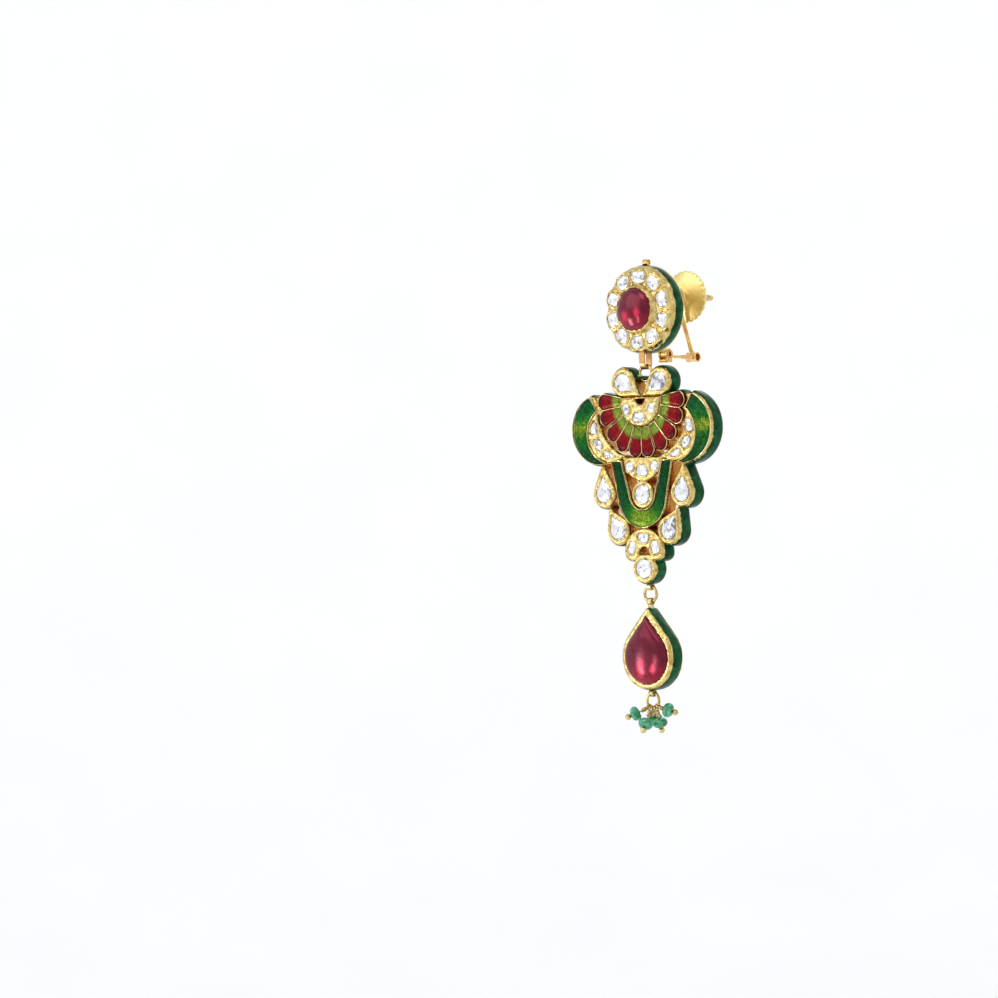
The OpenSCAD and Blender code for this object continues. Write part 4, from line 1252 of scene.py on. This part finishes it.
STONE_TOP, FAN_STONE_TOP = 2.8, 3.25
for name, p in (("top", TOP_PEAR), ("side", SIDE_PEAR), ("low", LOW_PEAR)):
    right = spaced(np.roll(pear_stone(p), 1, 0), 13)
    for hand, q in (("left", mirror(right)), ("right", right)):
        brilliant([q], STONE_TOP, 300, f"{name}_stone_{hand}", f"{name}_pear_{hand}")
hub_round, foot_round = ([spaced(ring_of(0, s[0], s[2], 48), 12)] for s in ROUNDS)
for outlines, top, seed, name, node in (
    (hub_round, STONE_TOP, 310, "hub_round_stone", "hub_stone"),
    (foot_round, STONE_TOP, 311, "foot_round_stone", "foot_stone"),
    (HUB_STONES, FAN_STONE_TOP, 312, "fan_stones", "fan_polki"),
    ([spaced(mirror(s), 9) for s in SIDE_CORNERS], STONE_TOP, 313, "left_stones", "left_polki"),
    ([spaced(s, 9) for s in SIDE_CORNERS], STONE_TOP, 314, "right_stones", "right_polki"),
    ([polki(s) for s in MID_POLKI], STONE_TOP, 315, "mid_stones", "mid_polki"),
    ([polki(s) for s in BASE_POLKI], STONE_TOP, 316, "base_stones", "base_polki"),
):
    brilliant(outlines, top, seed, name, node)


def jump_ring(solid, z, seed):
    """A round wire ring with its seam showing."""
    t = whole_turn(72)
    path = np.c_[RING_R * np.sin(t), np.full(72, -HANG), z + RING_R * np.cos(t)]
    seam = np.exp(-((t - 1.9) / 0.04) ** 2)
    uneven = lumps(path[:, 0] * 2, path[:, 2] * 2, 0.8, seed)
    tube(solid, path, RING_WIRE * (1 + 0.04 * uneven - 0.16 * seam), 18, True)


EYE_SIZE, EYE_SINK = (0.62, 0.4), 0.04
hanger = Solid()
jump_ring(hanger, BAIL_RING_Z, 400)
for s in (-1, 1):
    rounded_box(hanger, around(s * 1.59, 0.39), around(-HANG, 0.24), around(BAIL_RING_Z - 0.5, 0.3), 0.16)
eye_z = UPPER_RING_Z + RING_R
eye(hanger, (0, -HANG, eye_z - EYE_SINK), 0.9, *EYE_SIZE, edge=0.1)
rounded_box(hanger, around(0, 0.36), around(-HANG, 0.36), (eye_z + 0.38, eye_z + 1.0), 0.12)
hanger.piece("plaque_rings", "plaque", [ring_gold], "gold", ["plaque_case"])


# Drop

drop = Solid()
loop = even(pear(DROP_R, DROP_TIP, 60), 0.2, 2)
sweep_loop(drop, loop, [
    (0.06, 2.28), (0.14, 2.39), (0.12, 2.5), (0.02, 2.65), (-0.14, 2.79), (-0.32, 2.89), (-0.5, 2.93),
    (-0.65, 2.9), (-0.76, 2.82), (-0.81, 2.72), (-0.78, 2.2), (-0.4, 2.2),
], ON_DROP, 0, (0.05, 0.05, 0.7), 500)
sweep_loop(drop, loop, [(0.0, 0.05), (0.0, 2.3), (-0.9, 2.3), (-0.9, 0.05)], ON_DROP, 1)
sweep_loop(drop, loop, [
    (0.06, 0.0), (0.12, 0.03), (0.13, 0.1), (0.08, 0.16), (-0.34, 0.16), (-0.38, 0.0),
], ON_DROP, 1, (0.02, 0.0, 0.8), 505)
back = even(pear(DROP_R - 0.3, DROP_TIP - 0.45, 60), 0.3, 2)
dome(drop, back, [(0.035, 0.97), (0.055, 1.0), (1.1, 1.0)], ON_DROP, 1)
upper_eye, lower_eye = UPPER_RING_Z - RING_R + EYE_SINK, LOWER_RING_Z + RING_R - EYE_SINK
for z in (upper_eye, lower_eye):
    eye(drop, (0, -HANG, z), 0.96, *EYE_SIZE, 2, 0.1)
for tall in ((DROP_Z + DROP_TIP - 0.9, upper_eye - 0.46), (lower_eye + 0.46, lower_eye + 1.28)):
    rounded_box(drop, around(0, 0.4), around(-HANG, 0.4), tall, 0.14, 2)
drop.piece("drop_gold", "drop", [drop_foil, back_gold, ring_gold], "gold", ["drop_case"], 55)

drop_side = Solid()
sweep_loop(drop_side, loop, [
    (0.02, 0.22), (0.2, 0.26), (0.27, 0.45), (0.3, 1.1), (0.28, 1.8), (0.2, 2.2), (0.02, 2.3),
], ON_DROP, 0, (0.05, 0.04, 1.4), 510)
drop_side.piece("drop_side_enamel", "drop", [wall_green], "green_enamel", ["drop_enamel"])

gem = Solid()
outline = even(pear(DROP_R - DROP_BEZEL, DROP_TIP * (1 - DROP_BEZEL / DROP_R), 80), 0.16, 1)
blunt = softened(outline, 300)
# Rows of the stone: each one's depth and its share of the outline
levels = [(2.3, 0.975), (2.7, 0.998)]
levels += [(2.76 + 1.15 * z ** 0.86, x ** 0.86) for x, z in arc(0, 0, 1, 5, 88, 22)]
rows = []
for w, share in levels:
    k = 1 - share
    # The tip's corner fades above the rim, and rows slide towards a short ridge as they rise
    row = outline + (blunt - outline) * ease(k / 0.4)
    ridge = np.c_[np.zeros(len(row)), np.clip(row[:, 1], -1.3, 0.6)]
    rows.append(front(row * share + ridge * k, w, ON_DROP))
gem.add(np.vstack(rows), skin(len(rows), len(outline), caps=-1))
gem.piece("drop_cabochon", "drop", [drop_red], "ruby", ["drop_ruby"])

for name, z, seed in (("upper", UPPER_RING_Z, 520), ("lower", LOWER_RING_Z, 530)):
    link = Solid()
    jump_ring(link, z, seed)
    link.piece(f"{name}_link", "drop", [ring_gold], "gold", [f"{name}_ring"])

# Cluster: head pins looped round the lower ring, each with a flattened bead above its ball
RING_AT = np.array([0, -HANG, LOWER_RING_Z])
for k, (angle, end) in enumerate(PINS):
    a = radians(angle)
    down = np.array([sin(a), 0, -cos(a)])
    start = (PIN_LOOP_AT + PIN_LOOP_R) * down
    end = np.array([0, 0, -RING_R]) + np.array(end)
    run = end - start
    length = float(np.linalg.norm(run))
    run = run / length
    # Ring of wire in the plane of the ring's radius and y
    loop = RING_AT + PIN_LOOP_AT * down + ring_of(0, 0, PIN_LOOP_R, 30) @ np.array([down, [0, 1, 0]])
    pin = Solid()
    tube(pin, loop, PIN_R * (1 + 0.05 * lumps(loop[:, 1] * 3, loop[:, 2] * 3, 0.7, 540 + k)), 12, True)
    # Tail wound down the stem
    side = np.cross(run, [0.2, 1, 0.1])
    side /= np.linalg.norm(side)
    other = np.cross(run, side)
    wind = min(length - BALL_R - BEAD_T - 0.18, 0.95)
    turns = wind / 0.29
    t = np.linspace(0, 1, int(turns * 18) + 6)
    spin = 2 * np.pi * turns * t + k
    reach = 0.26 - 0.06 * ease((0.12 - t) / 0.12)
    coil = RING_AT + start + np.outer(0.02 + wind * t, run)
    coil += np.outer(reach * np.cos(spin), side) + np.outer(reach * np.sin(spin), other)
    tube(pin, coil, 0.13, 10)
    stem = np.linspace(0, length - 0.1, 14)
    tube(pin, RING_AT + start + np.outer(stem, run), PIN_R, 12)
    ball = [(0.02, -BALL_R * 0.99), *arc(0, 0, BALL_R, -78, 78, 18), (0.02, BALL_R * 0.99)]
    lathe(pin, ball, RING_AT + end, run, side, 28, closed=False)
    pin.piece(f"head_pin_wire_{k + 1}", "drop", [ring_gold], "gold", [f"head_pin_{k + 1}"])
    bead = Solid()
    half = BEAD_T / 2
    hole = [(0.36, half), (0.26, half - 0.05), (0.19, half - 0.16)]
    edge = [(r, -h) for r, h in hole[::-1]] + [*arc(BEAD_R - half, 0, half, -88, 88, 19)] + hole

    def uneven(r, h, a, i):
        grow = 1 + 0.035 * lumps(1.4 * np.cos(a), 1.4 * np.sin(a) + h, 0.9, 560 + k) * (r > 0.5)
        return r * grow, h * (1 + 0.02 * lumps(np.cos(a), np.sin(a), 0.8, 570 + k))

    lathe(bead, edge, RING_AT + end - run * (BALL_R + half + 0.02), run, side, 48, 0, uneven)
    bead.piece(f"green_bead_{k + 1}", "drop", [bead_green], "green_bead", [f"bead_{k + 1}"])


# Floor that curves up into a wall, all one pale sweep

floor_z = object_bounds()[0][2] - 0.16
sweep = [(0.02, 0.0), (0.7, 0.0), *arc(0.7, 0.35, 0.35, -85, 0, 18), (1.05, 0.5)]
points = [(x, y, floor_z + h) for r, h in sweep for x, y in ring_of(0, 0, r, 96)]
mesh = bpy.data.meshes.new("studio_floor")
mesh.from_pydata(points, [], skin(len(sweep), 96)[:-1])
mesh.polygons.foreach_set("use_smooth", [True] * len(mesh.polygons))
paper = Material("studio paper", rough=0.8)
paper.finish(paper.ramp(paper.noise(0.02, 2), [(0.3, (0.94, 0.94, 0.945)), (0.7, (0.96, 0.96, 0.965))]))
mesh.materials.append(paper.data)
studio_floor = bpy.data.objects.new("studio_floor", mesh)
bpy.context.scene.collection.objects.link(studio_floor)
studio_floor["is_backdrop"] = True


# Light and camera. VIEW is how far round to its right the earring is seen from.

low, high = (np.array(v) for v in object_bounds())
heart = (low + high) / 2
VIEW, ROLL = radians(42.2), radians(-1.25)
# The camera's directions before its roll
back = np.array([sin(VIEW), -cos(VIEW), 0])
right = np.array([cos(VIEW), sin(VIEW), 0])
up = np.array([0, 0, 1.0])

# Soft lights: metres to the camera's right, above, and towards the camera from the object, size, power
LAMPS = [
    ("key", -0.42, 0.5, 0.42, 0.3, 0.3, 1.0),
    ("panel", -0.5, 0.2, 0.14, 0.34, 0.26, 0.42),
    ("fill", 0.6, 0.18, 0.35, 0.3, 0.4, 0.3),
    ("top", 0.0, 0.6, 0.3, 0.5, 0.3, 0.4),
    ("strip_left", -0.33, -0.095, 0.03, 0.045, 0.11, 0.2),
    ("strip_right", -0.29, -0.095, 0.16, 0.035, 0.11, 0.11),
    ("rear", 0.2, 0.2, -0.5, 0.5, 0.4, 0.6),
]
for name, x, y, z, wide, tall, power in LAMPS:
    data = bpy.data.lights.new(name, "AREA")
    data.shape = "RECTANGLE"
    data.size, data.size_y, data.energy = wide, tall, power
    lamp = bpy.data.objects.new(name, data)
    bpy.context.scene.collection.objects.link(lamp)
    lamp.location = heart + right * x + up * y + back * z
    lamp.rotation_euler = Vector(heart - np.asarray(lamp.location)).to_track_quat("-Z", "Y").to_euler()
    lamp.visible_camera = False

world = bpy.data.worlds.new("studio")
bpy.context.scene.world = world
world.use_nodes = True
world.node_tree.nodes["Background"].inputs["Color"].default_value = (0.93, 0.94, 0.96, 1)
world.node_tree.nodes["Background"].inputs["Strength"].default_value = 1.0

LENS, SENSOR, FRAME_PX, MM_PER_PX = 135.0, 36.0, 998, 0.16
PHOTO_PX = (648.6, 496.2)  # where the earring's middle is in the photo
px = MM_PER_PX * MM
distance = FRAME_PX * px * LENS / SENSOR
cam = bpy.data.cameras.new("camera")
cam.lens, cam.sensor_width, cam.clip_start, cam.clip_end = LENS, SENSOR, 0.05, 10
camera = bpy.data.objects.new("camera", cam)
bpy.context.scene.collection.objects.link(camera)
cam_right = right * cos(ROLL) + up * sin(ROLL)
cam_up = up * cos(ROLL) - right * sin(ROLL)
look = np.array([0, -HANG * MM, heart[2]])
look = look - cam_right * (PHOTO_PX[0] - FRAME_PX / 2) * px - cam_up * (FRAME_PX / 2 - PHOTO_PX[1]) * px
camera.matrix_world = Matrix(np.vstack([
    np.stack([cam_right, cam_up, back, look + back * distance], 1), [[0, 0, 0, 1]],
]).tolist())
bpy.context.scene.camera = camera
bpy.context.scene.view_settings.view_transform = "Standard"
